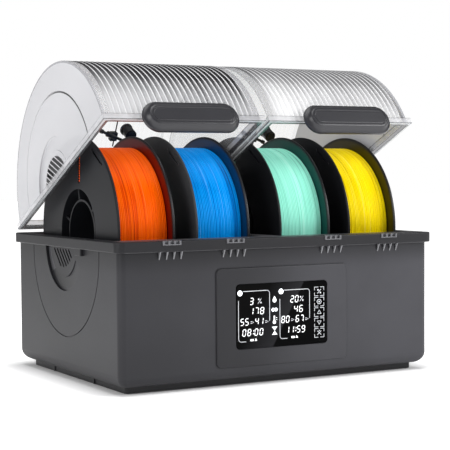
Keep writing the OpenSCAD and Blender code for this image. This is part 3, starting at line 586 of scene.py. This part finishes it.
def vent_bars(x0, x1, offsets, zmin, zmax):
    """Slanted slots with round ends inside the round vent."""
    parts = []
    along, across = Vector((0, 1, 1)).normalized(), Vector((0, 1, -1)).normalized()
    for o in offsets:
        reach = math.sqrt(max(0, VENT_R ** 2 - o ** 2)) - 1.5
        mid = Vector((0, VENT_Y, VENT_Z)) + across * o
        lo = max(-reach, (zmin - mid.z) / along.z)
        hi = min(reach, (zmax - mid.z) / along.z)
        if hi - lo < 4:
            continue
        half = VENT_SLOT / 2
        centre = mid + along * (lo + hi) / 2
        flat = rounded((hi - lo) / 2, half, half - 0.02, 5)
        parts.append(loft([[tuple(Vector((x, 0, 0)) + centre + along * u + across * v) for u, v in flat]
                           for x in (x0, x1)]))
    return parts


def cut(piece, cutters, operation="DIFFERENCE"):
    """Cuts closed parts out of a piece, or adds them. Broad flat walls are then shaded flat."""
    tool = build(piece.name + "_tool", grow(*cutters), None, [])
    tool.modifiers.clear()
    piece.modifiers.clear()
    step = piece.modifiers.new("cut", "BOOLEAN")
    step.operation = operation
    step.solver = "EXACT"
    step.use_self = operation == "UNION"
    step.object = tool
    graph = bpy.context.evaluated_depsgraph_get()
    mesh = bpy.data.meshes.new_from_object(piece.evaluated_get(graph))
    piece.modifiers.clear()
    piece.data = mesh
    bpy.data.objects.remove(tool)
    mesh.shade_smooth()
    mesh.set_sharp_from_angle(angle=math.radians(35))
    made = bmesh.new()
    made.from_mesh(mesh)
    for face in made.faces:
        if face.calc_area() > BROAD:
            face.smooth = False
    made.to_mesh(mesh)
    made.free()
    even(piece)


# ---------------------------------------------------------------- tub

def tub_rings():
    rings = []

    def ring(out, z, corner):
        rings.append([(x, y, z) for x, y in rounded(BODY_W / 2 + out, BODY_D / 2 + out, corner)])
    for inset, rise in quarter(LOW_R, 8):
        ring(-inset, TUB_Z + rise, max(1.0, CORNER_R - inset * 0.4))
    ring(0, UNDER_RIM - 0.8, CORNER_R)
    ring(0.8, UNDER_RIM, CORNER_R + 0.8)
    for inset, rise in quarter(0.9):
        ring(RIM_OUT - inset, UNDER_RIM + rise, CORNER_R + 1.5 - inset)
    for inset, rise in quarter(1.1)[::-1]:
        ring(RIM_OUT - inset, RIM_Z - rise, CORNER_R + 1.5 - inset)
    lip = 0.7
    for inset, _ in quarter(lip):
        drop = lip - math.sqrt(max(0, lip ** 2 - (lip - inset) ** 2))
        ring(lip - WALL - inset, RIM_Z - drop, CORNER_R - WALL + lip - inset)
    for inset, rise in quarter(LOW_R - WALL, 6)[::-1]:
        ring(-WALL - inset, TUB_Z + WALL + rise, max(1.0, CORNER_R - WALL - inset * 0.3))
    return rings


def tub_shell():
    piece = build("tub", loft(tub_rings()), "base", "tub")
    # gussets under the rim below each latch, and a lug on each side
    extra = []
    flat = [(FRONT + 1, UNDER_RIM + 1), (FRONT - 3.9, UNDER_RIM + 1), (FRONT - 3.9, UNDER_RIM),
            (FRONT, UNDER_RIM - 8.5), (FRONT + 1, UNDER_RIM - 8.5)]
    for x in LATCH_X:
        for g in (-1.5, -0.5, 0.5, 1.5):
            extra.append(loft([[(x + g * 7.85 + t, y, z) for y, z in flat] for t in (-0.6, 0.6)]))
    for s in (-1, 1):
        x = s * (BODY_W / 2 + 1)
        extra.append(block(x - 2.5, x + 2.5, -49, -33, UNDER_RIM - 7, UNDER_RIM + 1, r=1, edge=0.5))
    cut(piece, extra, "UNION")

    def dish(a):
        turn = max(-180, min(180, (math.degrees(a) - 60) * 1.15))
        return 2.5 * (0.5 + 0.5 * math.cos(math.radians(turn))) ** 0.8 + 0.02
    cutters = []
    for s in (-1, 1):
        face = s * BODY_W / 2
        drop = math.degrees(math.acos(-(UNDER_RIM - 1.2 - SIDE_RING_Z) / SIDE_RING_R))
        cutters.append(sector(face, -s, 0, SIDE_RING_Z, SIDE_RING_R - 0.6, SIDE_RING_R + 0.6, -drop, drop,
                              lambda a: 0.9, 96))
        top = math.degrees(math.acos((VENT_Z - UNDER_RIM + 1.2) / 49))
        cutters.append(sector(face, -s, VENT_Y, VENT_Z - 3, 35, 49.5, -62, top + 5, dish, 64))
        offsets = [(i + 0.5) * VENT_PITCH for i in range(-1, 5)]
        cutters += vent_bars(face - 5, face + 5, offsets, VENT_Z - 40, UNDER_RIM - 2)
    for x in HINGE_X:
        cutters.append(box_part(x - 11, x + 11, HINGE_Y - 3.7, HINGE_Y + 8, HINGE_Z - 3.8, RIM_Z + 3))
    for x in LATCH_X:
        cutters.append(box_part(x - 10, x + 10, -RIM_D / 2 - 3, -RIM_D / 2 + 3.4, RIM_Z - 4.5, RIM_Z + 3))
    cutters.append(plaque(PANEL_X, PANEL_Z, 148, 93, 4, FRONT + WALL + 3, FRONT - 4, 0.1))
    cutters.append(box_part(46, 74, BODY_D / 2 - WALL - 2, BODY_D / 2 + 3, 20.8, 41.2))
    cut(piece, cutters)
    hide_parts("tub_shell")


def hinge_ears():
    """Ears on the rear rim that hold the lids' hinge pins."""
    back, r = HINGE_Y - 4.2, 3.2
    flat = [(back, HINGE_Z - 6), (HINGE_Y, HINGE_Z - 6)]
    for i in range(17):
        t = math.radians(-90 + 180 * i / 16)
        flat.append((HINGE_Y + r * math.cos(t), HINGE_Z + r * math.sin(t)))
    flat.append((back, HINGE_Z + r))
    parts = []
    for x in [x + e for x in HINGE_X for e in (-14, 14)]:
        parts.append(loft([[(x + dx, y + (inset if y < HINGE_Y - 4 else -inset * (y > HINGE_Y)), z) for y, z in flat]
                           for dx, inset in ((-3, 0.4), (-2.6, 0), (2.6, 0), (3, 0.4))]))
    piece = build("hinge_ears", grow(*parts), "base", "tub")


def keepers():
    parts = []
    y0, y1 = -RIM_D / 2 - 1.3, -RIM_D / 2 + 3.4
    for x in LATCH_X:
        parts.append(block(x - 9.9, x + 9.9, y0, y1, RIM_Z - 4.4, RIM_Z - 3.4, 0.4, 0.3))
        parts.append(block(x - 9.9, x + 9.9, y1 - 1.7, y1, RIM_Z - 4, RIM_Z, 0.4, 0.3))
        for c, w in ((-9, 0.95), (-3, 1.0), (3, 1.0), (9, 0.95)):
            parts.append(block(x + c - w, x + c + w, y0, y1 - 1, RIM_Z - 4, RIM_Z, 0.4, 0.35))
    piece = build("latch_catches", grow(*parts), "base", "keeper")
    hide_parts("latch_keepers")


# ---------------------------------------------------------------- control panel

def control_panel():
    y = PANEL_FRONT
    levels = [(0.0, FRONT + 0.3), (0.0, y + 1.1)] + [(i, y + d) for i, d in quarter(1.1)[::-1]]
    rings = [facing_ring(PANEL_X, PANEL_Z, ly, 77 - i, 49.5 - i, 5 - i * 0.7) for i, ly in levels]
    gx, gz, hw, hh = -2.0, 70.0, 54.0, 32.5
    for out, ly in ((0.5, y), (0.0, y + 0.5), (0.0, y + 1.4)):
        rings.append(facing_ring(gx, gz, ly, hw + out, hh + out, 4 + out))
    piece = build("control_panel_face", loft(rings), "base", "panel")
    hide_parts("control_panel")
    pane = build("display_pane", plaque(gx, gz, 2 * hw - 0.3, 2 * hh - 0.3, 3.9, y + 1.3, y + 0.05, 0.25), "base",
                 "glass")
    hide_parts("display_glass")


def arc(cx, cz, r, a0, a1, steps=6):
    return [(cx + r * math.cos(t), cz + r * math.sin(t))
            for t in np.radians(np.linspace(a0, a1, steps + 1))]


def circle(cx, cz, rx, rz, steps):
    return [(cx + rx * math.cos(t), cz + rz * math.sin(t)) for t in np.linspace(0, 2 * math.pi, steps, endpoint=False)]


class Ink:
    """Flat lit marks gathered on the display, drawn in (x, z) millimetres on the glass."""

    def __init__(self):
        self.parts = []

    def fill(self, points):
        self.parts.append(loft([[(x, y, z) for x, z in points] for y in (PANEL_FRONT + 0.08, PANEL_FRONT + 0.02)]))

    def line(self, points, width, closed=False):
        """A stroke of even width along points."""
        for (ax, az), (bx, bz) in zip(points, points[1:] + points[:1] if closed else points[1:]):
            length = math.hypot(bx - ax, bz - az)
            ux, uz = (bx - ax) / length, (bz - az) / length
            nx, nz, e = -uz * width / 2, ux * width / 2, width * 0.3
            self.fill([(ax - ux * e + nx, az - uz * e + nz), (ax - ux * e - nx, az - uz * e - nz),
                       (bx + ux * e - nx, bz + uz * e - nz), (bx + ux * e + nx, bz + uz * e + nz)])

    def disc(self, x, z, r, steps):
        self.fill(circle(x, z, r, r, steps))

    def hoop(self, x, z, r, hole, steps):
        self.line(circle(x, z, (r + hole) / 2, (r + hole) / 2, steps), r - hole, closed=True)


SEGMENTS = {"0": "abcdef", "1": "bc", "2": "abged", "3": "abgcd", "4": "fgbc", "5": "afgcd", "6": "afgedc",
            "7": "abc", "8": "abcdefg", "9": "abcdfg"}


def digit(ink, char, x, z, h, w):
    """A slanted seven-segment digit with its lower left corner at x, z."""
    k, gap, slant = h * 0.125 / 2, h * 0.03, 0.12
    ends = {"a": ((0, h), (w, h)), "g": ((0, h / 2), (w, h / 2)), "d": ((0, 0), (w, 0)),
            "f": ((0, h / 2), (0, h)), "b": ((w, h / 2), (w, h)), "e": ((0, 0), (0, h / 2)), "c": ((w, 0), (w, h / 2))}
    for seg in SEGMENTS[char]:
        (ax, az), (bx, bz) = ends[seg]
        ux, uz = (1, 0) if az == bz else (0, 1)
        ax, az, bx, bz = ax + ux * gap, az + uz * gap, bx - ux * gap, bz - uz * gap
        outline = [(ax, az), (ax + ux * k - uz * k, az + uz * k + ux * k), (bx - ux * k - uz * k, bz - uz * k + ux * k),
                   (bx, bz), (bx - ux * k + uz * k, bz - uz * k - ux * k), (ax + ux * k + uz * k, az + uz * k - ux * k)]
        ink.fill([(x + px + pz * slant, z + pz) for px, pz in outline])


def digits(ink, text, x, z, w=3.3, step=5.4, h=6.4):
    for char in text:
        if char == ":":
            for k in (0.28, 0.72):
                ink.disc(x + 0.6 + k * h * 0.12, z + k * h, 0.6, 12)
            x += 2.2
        else:
            digit(ink, char, x, z, h, w)
            x += step


def gauge(ink, faint, x0, x1, top, low, dot_x, dot_z):
    """A zone's bracket: a disc, a line over the top and down the right, and a line down the left."""
    r, tail = 3.0, 64.5
    ink.hoop(dot_x, dot_z, 2.7, 0.7, 20)
    faint.line([(dot_x + 3.8, top)] + arc(x1 - r, top - r, r, 90, 0) + [(x1, tail)], 0.6)
    faint.line([(x0, dot_z - 7.8)] + arc(x0 + r, low + r, r, 180, 270) + [(x0 + 8.5, low)], 0.6)


def touch_key(ink, x, z, kind):
    """A dashed square with a simple sign in it."""
    hw, hh, gap = 5.7, 4.5, 1.3
    for sx in (-1, 1):
        for sz in (-1, 1):
            ink.line([(x + sx * gap, z + sz * hh), (x + sx * hw, z + sz * hh), (x + sx * hw, z + sz * gap)], 0.5)
    if kind == 0:
        ink.line([(x - 2, z - 2), (x + 2, z + 2)], 0.6)
        ink.disc(x - 1.4, z + 1.5, 0.9, 10)
        ink.disc(x + 1.6, z - 1.4, 0.9, 10)
    elif kind == 1:
        ink.line(circle(x, z, 2.7, 2.4, 6), 0.6, closed=True)
        ink.disc(x, z, 0.9, 10)
    elif kind in (2, 3):
        k = 1 if kind == 2 else -1
        ink.line([(x - 2.3, z - 1.5 * k), (x + 2.3, z - 1.5 * k), (x, z + 2 * k)], 0.5, closed=True)
    else:
        ink.line([(x - 2.2, z + 2), (x + 2.2, z - 2)], 0.6)
        ink.line([(x - 2.2, z - 2), (x + 2.2, z + 2)], 0.6)
        ink.disc(x, z + 2.3, 0.6, 8)


def display_marks():
    ink, faint = Ink(), Ink()
    gauge(ink, faint, -53.4, -17.3, 95.2, 44.8, -51.6, 93.6)
    gauge(ink, faint, -5.2, 30.4, 94.4, 45.2, -3.7, 93.3)
    for row in (("3", -40.2, 81.7), ("20", 7.5, 81.7), ("178", -40.6, 71.8, 3.6, 6.2), ("46", 11.7, 71.5, 3.6, 6.2),
                ("55", -51.2, 61.4), ("41", -34.2, 61.4), ("80", -3.4, 61.4), ("67", 13.6, 61.4),
                ("08:00", -49.0, 50.6, 3.3, 5.9), ("11:59", 1.6, 50.6, 3.3, 5.6)):
        digits(ink, *row)
    for x in (-31.0, 18.6):
        faint.disc(x + 1.0, 86.6, 0.9, 12)
        faint.line([(x + 0.2, 82.4), (x + 4.0, 87.2)], 0.5)
        faint.disc(x + 3.6, 83.2, 0.9, 12)
    for x in (-39.4, -22.4, 8.3, 25.2):
        faint.line([(x, 64.6), (x + 1.8, 64.6)], 0.6)
        faint.line([(x, 63.0), (x + 1.8, 63.0)], 0.6)
        faint.disc(x + 3, 63.8, 0.5, 10)
    for x in (-38.0, 10.2):
        ink.line([(x - 1.3, 46.0), (x + 1.3, 46.0)], 2.0)
        ink.fill([(x + 3.0, 45.0), (x + 6.0, 45.0), (x + 4.5, 47.8)])
    # drop
    ink.fill([(-11.5 + 2.3 * math.sin(t), 84.8 - 2.3 * math.cos(t)) for t in np.linspace(-2.2, 2.2, 14)]
             + [(-11.5, 89.2)])
    # reel
    for x in (-13.2, -9.8):
        ink.hoop(x, 75.2, 1.8, 0.9, 16)
    # thermometer
    ink.line([(-11.8, 64.0), (-11.8, 68.6)], 1.6)
    ink.disc(-11.8, 62.6, 1.9, 16)
    for z in (65.2, 67.0):
        ink.line([(-9.8, z), (-8.6, z)], 0.5)
    # hourglass
    for z, end in ((57.2, 57.7), (50.6, 50.1)):
        ink.fill([(-14, z), (-9, z), (-11.5, 53.9)])
        ink.line([(-14.4, end), (-8.6, end)], 0.6)
    for i in range(5):
        touch_key(faint, 42.1, 91.2 - 10.7 * i, i)
    for name, marks, look in (("display_marks", ink, "white"), ("display_faint_marks", faint, "dim")):
        piece = build(name, grow(*marks.parts), "base", look, smooth=10)


# ---------------------------------------------------------------- lids

def on_lid(side):
    """From a lid's own frame, shut, to its place part open."""
    turn = Matrix.Rotation(-OPEN, 4, "X")
    pivot = Matrix.Translation((0, HINGE_Y, HINGE_Z))
    return pivot @ turn @ pivot.inverted() @ Matrix.Translation((LID_X0[side], 0, 0))


RIB_SHAPE = ((0.04, 0.0), (0.12, 0.12), (0.26, 0.84), (0.34, 0.96),
             (0.66, 0.96), (0.74, 0.84), (0.88, 0.12), (0.96, 0.0))


def rib_profile():
    """Outer radius of the barrel along its length, with a rounded rib every pitch."""
    edge = ((0.0, 0.9), (0.3, 0.25), (0.9, 0.0))
    start = BARREL_X0 + BAND
    pitch = (BARREL_X1 - BAND - start) / RIBS
    points = [(BARREL_X0 + d, LID_R - drop) for d, drop in edge]
    for k in range(RIBS):
        points += [(start + (k + t) * pitch, LID_R - drop) for t, drop in RIB_SHAPE]
    return points + [(BARREL_X1 - d, LID_R - drop) for d, drop in edge[::-1]]


def end_wall(x0, x1):
    """The flat end of a barrel above the frame."""
    r = LID_R - 0.9
    half = math.acos((LID_Z + 2 - LID_CZ) / r)
    turns = [-half + 2 * half * i / 96 for i in range(97)]
    return loft([[(x, LID_CY + r * math.sin(a), LID_CZ + r * math.cos(a)) for a in turns] for x in (x0, x1)])


def scaled(matrix):
    """The same placing for a mesh already in metres."""
    out = matrix.copy()
    out.translation = matrix.translation * MM
    return out


def rect_ring(x0, x1, y0, y1, z, r=1.2):
    cx, cy = (x0 + x1) / 2, (y0 + y1) / 2
    return [(cx + x, cy + y, z) for x, y in rounded((x1 - x0) / 2, (y1 - y0) / 2, r, 3)]


def lid_barrel(side, place, body):
    """The ribbed barrel: one look for the crests, one for the grooves, and plain bands at both ends."""
    inner, steps = LID_R - LID_T, 120
    base = math.degrees(math.acos((LID_Z + 0.6 - LID_CZ) / LID_R))
    skin = rib_profile() + [(BARREL_X1, inner), (BARREL_X0, inner)]
    n = len(skin)

    def look_of(i):
        (xa, r0), (xb, r1) = skin[i % n], skin[(i + 1) % n]
        if i >= steps * n:
            return 0
        if max(r0, r1) <= inner + 0.01:
            return 2
        if not BARREL_X0 + BAND - 1 < (xa + xb) / 2 < BARREL_X1 - BAND + 1:
            return 3
        return 1 if max(r0, r1) < LID_R - 0.05 else 0
    shell = build(f"lid_barrel_{side}", lathe(skin, steps, LID_CY, LID_CZ, -base, base), body,
                  ["crest", "groove", "clear", "band"], at=place, smooth=50, look_of=look_of)
    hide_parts(f"lid_{side}")


def outer_wall_cutters(face, inward, x0, x1):
    """The ring groove, the dish round the vent and the vent's slots in a lid's outer end."""
    def dish(a):
        return 1.3 * (0.5 + 0.5 * math.cos(a - math.radians(110))) ** 0.8 + 0.02
    top = LID_Z + FRAME_H + 1
    low = math.degrees(math.acos(-(top - LID_RING_Z) / LID_RING_R))
    rise = math.degrees(math.acos(-(top - VENT_Z) / 50))
    return [sector(face, inward, LID_RING_Y, LID_RING_Z, LID_RING_R - 0.6, LID_RING_R + 0.6, low, 360 - low,
                   lambda a: 0.9, 96),
            sector(face, inward, VENT_Y, VENT_Z, 35, 50, rise, 360 - rise, dish, 64),
            *vent_bars(x0 - 2, x1 + 2, [i * VENT_PITCH for i in range(-1, 3)], top + 1, VENT_Z + 40)]


def lid(side):
    place = on_lid(side)
    body = f"{side}_lid"
    lid_barrel(side, place, body)
    for k, (x0, x1) in enumerate(((BARREL_X0 + 0.05, BARREL_X0 + LID_T), (BARREL_X1 - LID_T, BARREL_X1 - 0.05))):
        outer = (k == 0) == (side == "left")
        wall = build(f"lid_end_{side}_{k}", end_wall(x0, x1), None, "frost" if outer else "clear")
        if outer:
            cut(wall, outer_wall_cutters(*((x0, 1) if k == 0 else (x1, -1)), x0, x1))
        wall.data.transform(scaled(place))
        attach(wall, body)
    top = LID_Z + FRAME_H
    rings = [rect_ring(inset, LID_LEN - inset, LID_Y0 + inset, LID_Y1 - inset, z)
             for inset, z in ((0.6, LID_Z), (0.0, LID_Z + 0.6), (0.0, top - 0.6), (0.6, top))]
    rings += [rect_ring(6.5, 173.0, -129.0, 119.5, z) for z in (top, LID_Z)]
    lip = build(f"lid_flange_{side}", loft(rings + [rings[0]], closed=False), body, "rail", at=place)


# (inset, distance in front of the grip's back) along the grip's section
GRIP_SHAPE = ((0.0, 0.0), (0.0, 2.2), (0.35, 3.1), (1.2, 3.6), (2.6, 4.3), (4.2, 6.0), (5.0, 7.4), (5.6, 8.1),
              (6.6, 8.5), (8.0, 8.5), (8.5, 8.2), (8.8, 7.9), (9.4, 7.9), (9.7, 8.2), (10.2, 8.4))


def handle(side):
    place = on_lid(side)
    back, finger = -141.5, -137.9
    hw, hh, cx, cz = 53.5, 16.2, LID_LEN / 2, 147.3
    rings = [facing_ring(cx, cz, back - d, hw - inset, hh - inset, hh - inset - 0.02, 16) for inset, d in GRIP_SHAPE]
    piece = build(f"handle_grip_{side}", loft(rings), f"{side}_lid", "handle", at=place, smooth=28)
    parts = [box_part(cx - 22, cx + 22, back - 1, LID_Y0, LID_Z + 0.6, LID_Z + FRAME_H)]
    for x in [cx + k * LATCH_OUT + j * 6 for k in (-1, 1) for j in (-1, 0, 1)]:
        parts.append(block(x - 1.5, x + 1.5, back - 1, finger, LID_Z + 0.6, LID_Z + 3, 0, 0.2))
        parts.append(block(x - 1.5, x + 1.5, finger - 1.3, finger, RIM_Z - 2.6, LID_Z + 2.9, 0, 0.2))
    hooks = build(f"handle_hooks_{side}", grow(*parts), f"{side}_lid", "handle", at=place)
    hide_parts(f"lid_handle_{side}")


# ---------------------------------------------------------------- reels

def radial(x, degrees):
    """A point p out from the reels' axis in one direction and q across it, at x or dx beyond."""
    t = math.radians(degrees)
    u, v = Vector((0, math.cos(t), math.sin(t))), Vector((0, -math.sin(t), math.cos(t)))
    return lambda p, q, dx=0.0: tuple(Vector((x + dx, 0, REEL_Z)) + u * p + v * q)


def prism(at, flat, out, ends):
    """A flat outline (p, q) moved out along its direction and drawn between two places along X."""
    return loft([[at(out + p, q, dx) for p, q in flat] for dx in ends])


def flange_plate(x0, x1, hole):
    """A reel's flange: a rounded rim and a hub hole."""
    edge = ((0.0, 2.0), (0.25, 0.9), (0.9, 0.15))
    profile = [(x0, hole), (x1, hole)] + [(x1 - d, REEL_R - drop) for d, drop in edge]
    profile += [((x0 + x1) / 2, REEL_R)] + [(x0 + d, REEL_R - drop) for d, drop in edge[::-1]]
    return lathe(profile, 200, 0, REEL_Z)


def near_face_cutters(near):
    """Three radial slots, two holes for the strand's end and the shallow groove between them."""
    cutters = [prism(radial(near, a), rounded(15.5, 2.2, 2.1, 5), 66.5, (-1, 4)) for a in SLOT_ANGLES]
    for a in (114, 131):
        _, y, z = radial(near, a)(93, 0)
        cutters.append(lathe([(near - 1, 0.01), (near + 4, 0.01), (near + 4, 1.5), (near - 1, 1.5)], 20, y, z))
    cutters.append(prism(radial(near, 122.5), rounded(1.3, 12.0, 1.2, 4), 91.5, (-1, 1.7)))
    return cutters


def reel_core(near):
    """The hub, a ring inside it and the six spokes that join them."""
    far, r = near + REEL_W - FLANGE_T, 34.5
    hub = [(near + 0.2, HUB_R), (far, HUB_R), (far, HUB_R + 2), (near + 0.2, HUB_R + 2)]
    ring = [(near + 4, r - 2.5), (near + 50, r - 2.5), (near + 50, r), (near + 4.4, r), (near + 4, r - 0.4)]
    corners = [(r - 1, -1.2), (HUB_R + 1, -1.2), (HUB_R + 1, 1.2), (r - 1, 1.2)]
    spokes = [prism(radial(near, k * 60 + 20), corners, 0, (4, 50)) for k in range(6)]
    return grow(lathe(hub, 120, 0, REEL_Z), lathe(ring, 120, 0, REEL_Z), *spokes)


def reel(i):
    near = REEL_X[i] - REEL_W / 2
    far = near + REEL_W - FLANGE_T
    body = f"reel_{i}"
    # the second reel's near face gets the paler copy of the reel plastic, as painted light
    plate = build(f"reel_{i}_near_face", flange_plate(near, near + FLANGE_T, HUB_R), body,
                  "reel_lit" if i == 2 else "reel")
    cut(plate, near_face_cutters(near))
    core = build(f"reel_{i}_core", reel_core(near), body, "reel")
    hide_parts(f"reel_{i}_near_flange")
    back = build(f"reel_{i}_far_face", flange_plate(far, far + FLANGE_T, HUB_R - 2.6), body, f"far_{i}")
    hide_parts(f"reel_{i}_far_flange")
    winding(i, near + FLANGE_T + 0.15, far - 0.15)


def winding(i, x0, x1):
    """Strands wound side by side: each turn leans one pitch along the reel."""
    pitch, turns, samples = 1.75, 300, 6
    xs = np.linspace(x0, x1, int((x1 - x0) / pitch * samples) + 1)
    edge = np.minimum(1, np.minimum(xs - x0, x1 - xs) / 2.2)
    rng = np.random.default_rng(40 + i)
    waves = [(rng.uniform(0.05, 0.16), k, rng.uniform(0, 6.3)) for k in (1, 2, 3, 5)]
    slack = rng.uniform(-1, 1, int((x1 - x0) / pitch) + 6)
    # both sides of the winding, a little dented between one layer and the next
    radii = np.arange(WOUND_R - 1.9, HUB_R + 2.4, -pitch / 4)
    dent = 0.45 * (1 - abs(np.sin(math.pi * (WOUND_R - radii) / pitch)))
    sides = [*zip(x1 - dent, radii), *zip((x0 + dent)[::-1], radii[::-1])]
    rings = []
    for a in np.linspace(0, 2 * math.pi, turns, endpoint=False):
        drift = sum(w * math.sin(k * a + p) for w, k, p in waves)
        u = (xs - x0) / pitch + a / (2 * math.pi) + drift * 0.6
        k = np.floor(u).astype(int)
        crown = np.sqrt(np.maximum(0, 1 - (2 * (u - k) - 1) ** 2))
        r = WOUND_R - 0.75 * (1 - crown) - 0.22 * (slack[k + 1] + 1) / 2 - 1.1 * (1 - edge) ** 2
        r = np.minimum(r + 0.12 * math.sin(3 * a + i), WOUND_R)
        rings.append([(x, ri * math.sin(a), REEL_Z + ri * math.cos(a)) for x, ri in [*zip(xs, r), *sides]])
    # the turns that bulge a little into the flange's slots
    beads = []
    for degrees in SLOT_ANGLES:
        at = radial(x0 - 1.25, degrees)
        for out in [53.6 + 2.6 * j for j in range(11)]:
            beads.append(loft([[at(out + 1.22 * math.cos(a) * math.cos(b), 1.75 * math.sin(a),
                                   -1.75 * math.cos(a) * math.sin(b))
                                for b in np.linspace(0, 2 * math.pi, 10, endpoint=False)]
                               for a in np.linspace(-1.45, 1.45, 7)]))
    piece = build(f"winding_{i}", grow(loft(rings + [rings[0]], closed=False), *beads), f"reel_{i}", f"wound_{i}",
                  smooth=180)
    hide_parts(f"filament_{i}")


# ---------------------------------------------------------------- carried-over nodes

def both(*names):
    return [f"{name}_{s}" for name in names for s in SIDES]


CAD_LOOKS = {
    "black": ["base_plinth", "power_inlet"] + both(
        "fan_frame", "fan_rotor", "roller_cradle", "hinge_arms", "vent_plug", "humidity_probe"),
    "rubber": ["rubber_feet"],
    "steel": ["base_screws", "roller_axles", "hinge_pins"] + both("handle_screws"),
    "board": ["display_board", "power_supply"],
    "inner": ["centre_divider"] + both("chamber_liner", "air_duct"),
    "fins": both("heater"),
    "seal": both("lid_seal"),
    "roller": [f"roller_{i}_{e}" for i in REELS for e in ("front", "rear")],
}


def dress_cad():
    for look, names in CAD_LOOKS.items():
        for name in names:
            materials = frame["nodes"][name].data.materials
            if not materials:
                materials.append(MAT[look])
            for k in range(len(materials)):
                materials[k] = MAT[look]


# ---------------------------------------------------------------- studio

def area(name, size, power, place, target):
    data = bpy.data.lights.new(name, "AREA")
    data.size = size
    data.energy = power
    lamp = bpy.data.objects.new(name, data)
    bpy.context.scene.collection.objects.link(lamp)
    lamp.location = place
    lamp.rotation_euler = (Vector(target) - Vector(place)).to_track_quat("-Z", "Y").to_euler()


def studio():
    """White all round, which lights the object only a little, a paper floor and three soft lights."""
    world = bpy.data.worlds.new("studio")
    bpy.context.scene.world = world
    world.use_nodes = True
    tree = world.node_tree
    back = tree.nodes["Background"]
    seen = tree.nodes.new("ShaderNodeBackground")
    for shade, strength in ((back, 0.20), (seen, 1.0)):
        shade.inputs["Color"].default_value = (1, 1, 1, 1)
        shade.inputs["Strength"].default_value = strength
    mix = tree.nodes.new("ShaderNodeMixShader")
    path = tree.nodes.new("ShaderNodeLightPath")
    for source, into in ((path.outputs["Is Camera Ray"], mix.inputs[0]), (back.outputs[0], mix.inputs[1]),
                         (seen.outputs[0], mix.inputs[2]), (mix.outputs[0], tree.nodes["World Output"].inputs[0])):
        tree.links.new(source, into)
    far = 9000
    floor = build("floor", ([(-far, -far, 0), (far, -far, 0), (far, far, 0), (-far, far, 0)], [(0, 1, 2, 3)]), None,
                  "paper")
    area("left_key", 0.7, 9, (-1.35, -0.5, 0.6), (-0.15, -0.05, 0.12))
    area("right_key", 0.6, 13, (0.95, -1.05, 0.7), (0.15, 0, 0.12))
    area("top_soft", 1.2, 17, (-0.1, -0.3, 1.7), (0, 0, 0.15))


def camera():
    """The view the object is shown from: slightly above it, from its left front."""
    yaw, pitch, roll = (math.radians(a) for a in (29.064, -2.179, -0.406))
    forward = Vector((math.sin(yaw) * math.cos(pitch), math.cos(yaw) * math.cos(pitch), math.sin(pitch)))
    level = Vector((math.cos(yaw), -math.sin(yaw), 0))
    above = level.cross(forward)
    right = math.cos(roll) * level + math.sin(roll) * above
    up = -math.sin(roll) * level + math.cos(roll) * above
    data = bpy.data.cameras.new("camera")
    data.sensor_width = 36.0
    data.lens = 108.23
    data.clip_end = 50.0
    eye = bpy.data.objects.new("camera", data)
    bpy.context.scene.collection.objects.link(eye)
    eye.matrix_world = Matrix((right, up, -forward)).transposed().to_4x4()
    eye.location = (-0.71627, -1.30281, 0.21287)
    bpy.context.scene.camera = eye
    bpy.context.scene.view_settings.view_transform = "Standard"


dress_cad()
tub_shell()
hinge_ears()
keepers()
control_panel()
display_marks()
for lid_side in SIDES:
    lid(lid_side)
    handle(lid_side)
for reel_number in REELS:
    reel(reel_number)
studio()
camera()
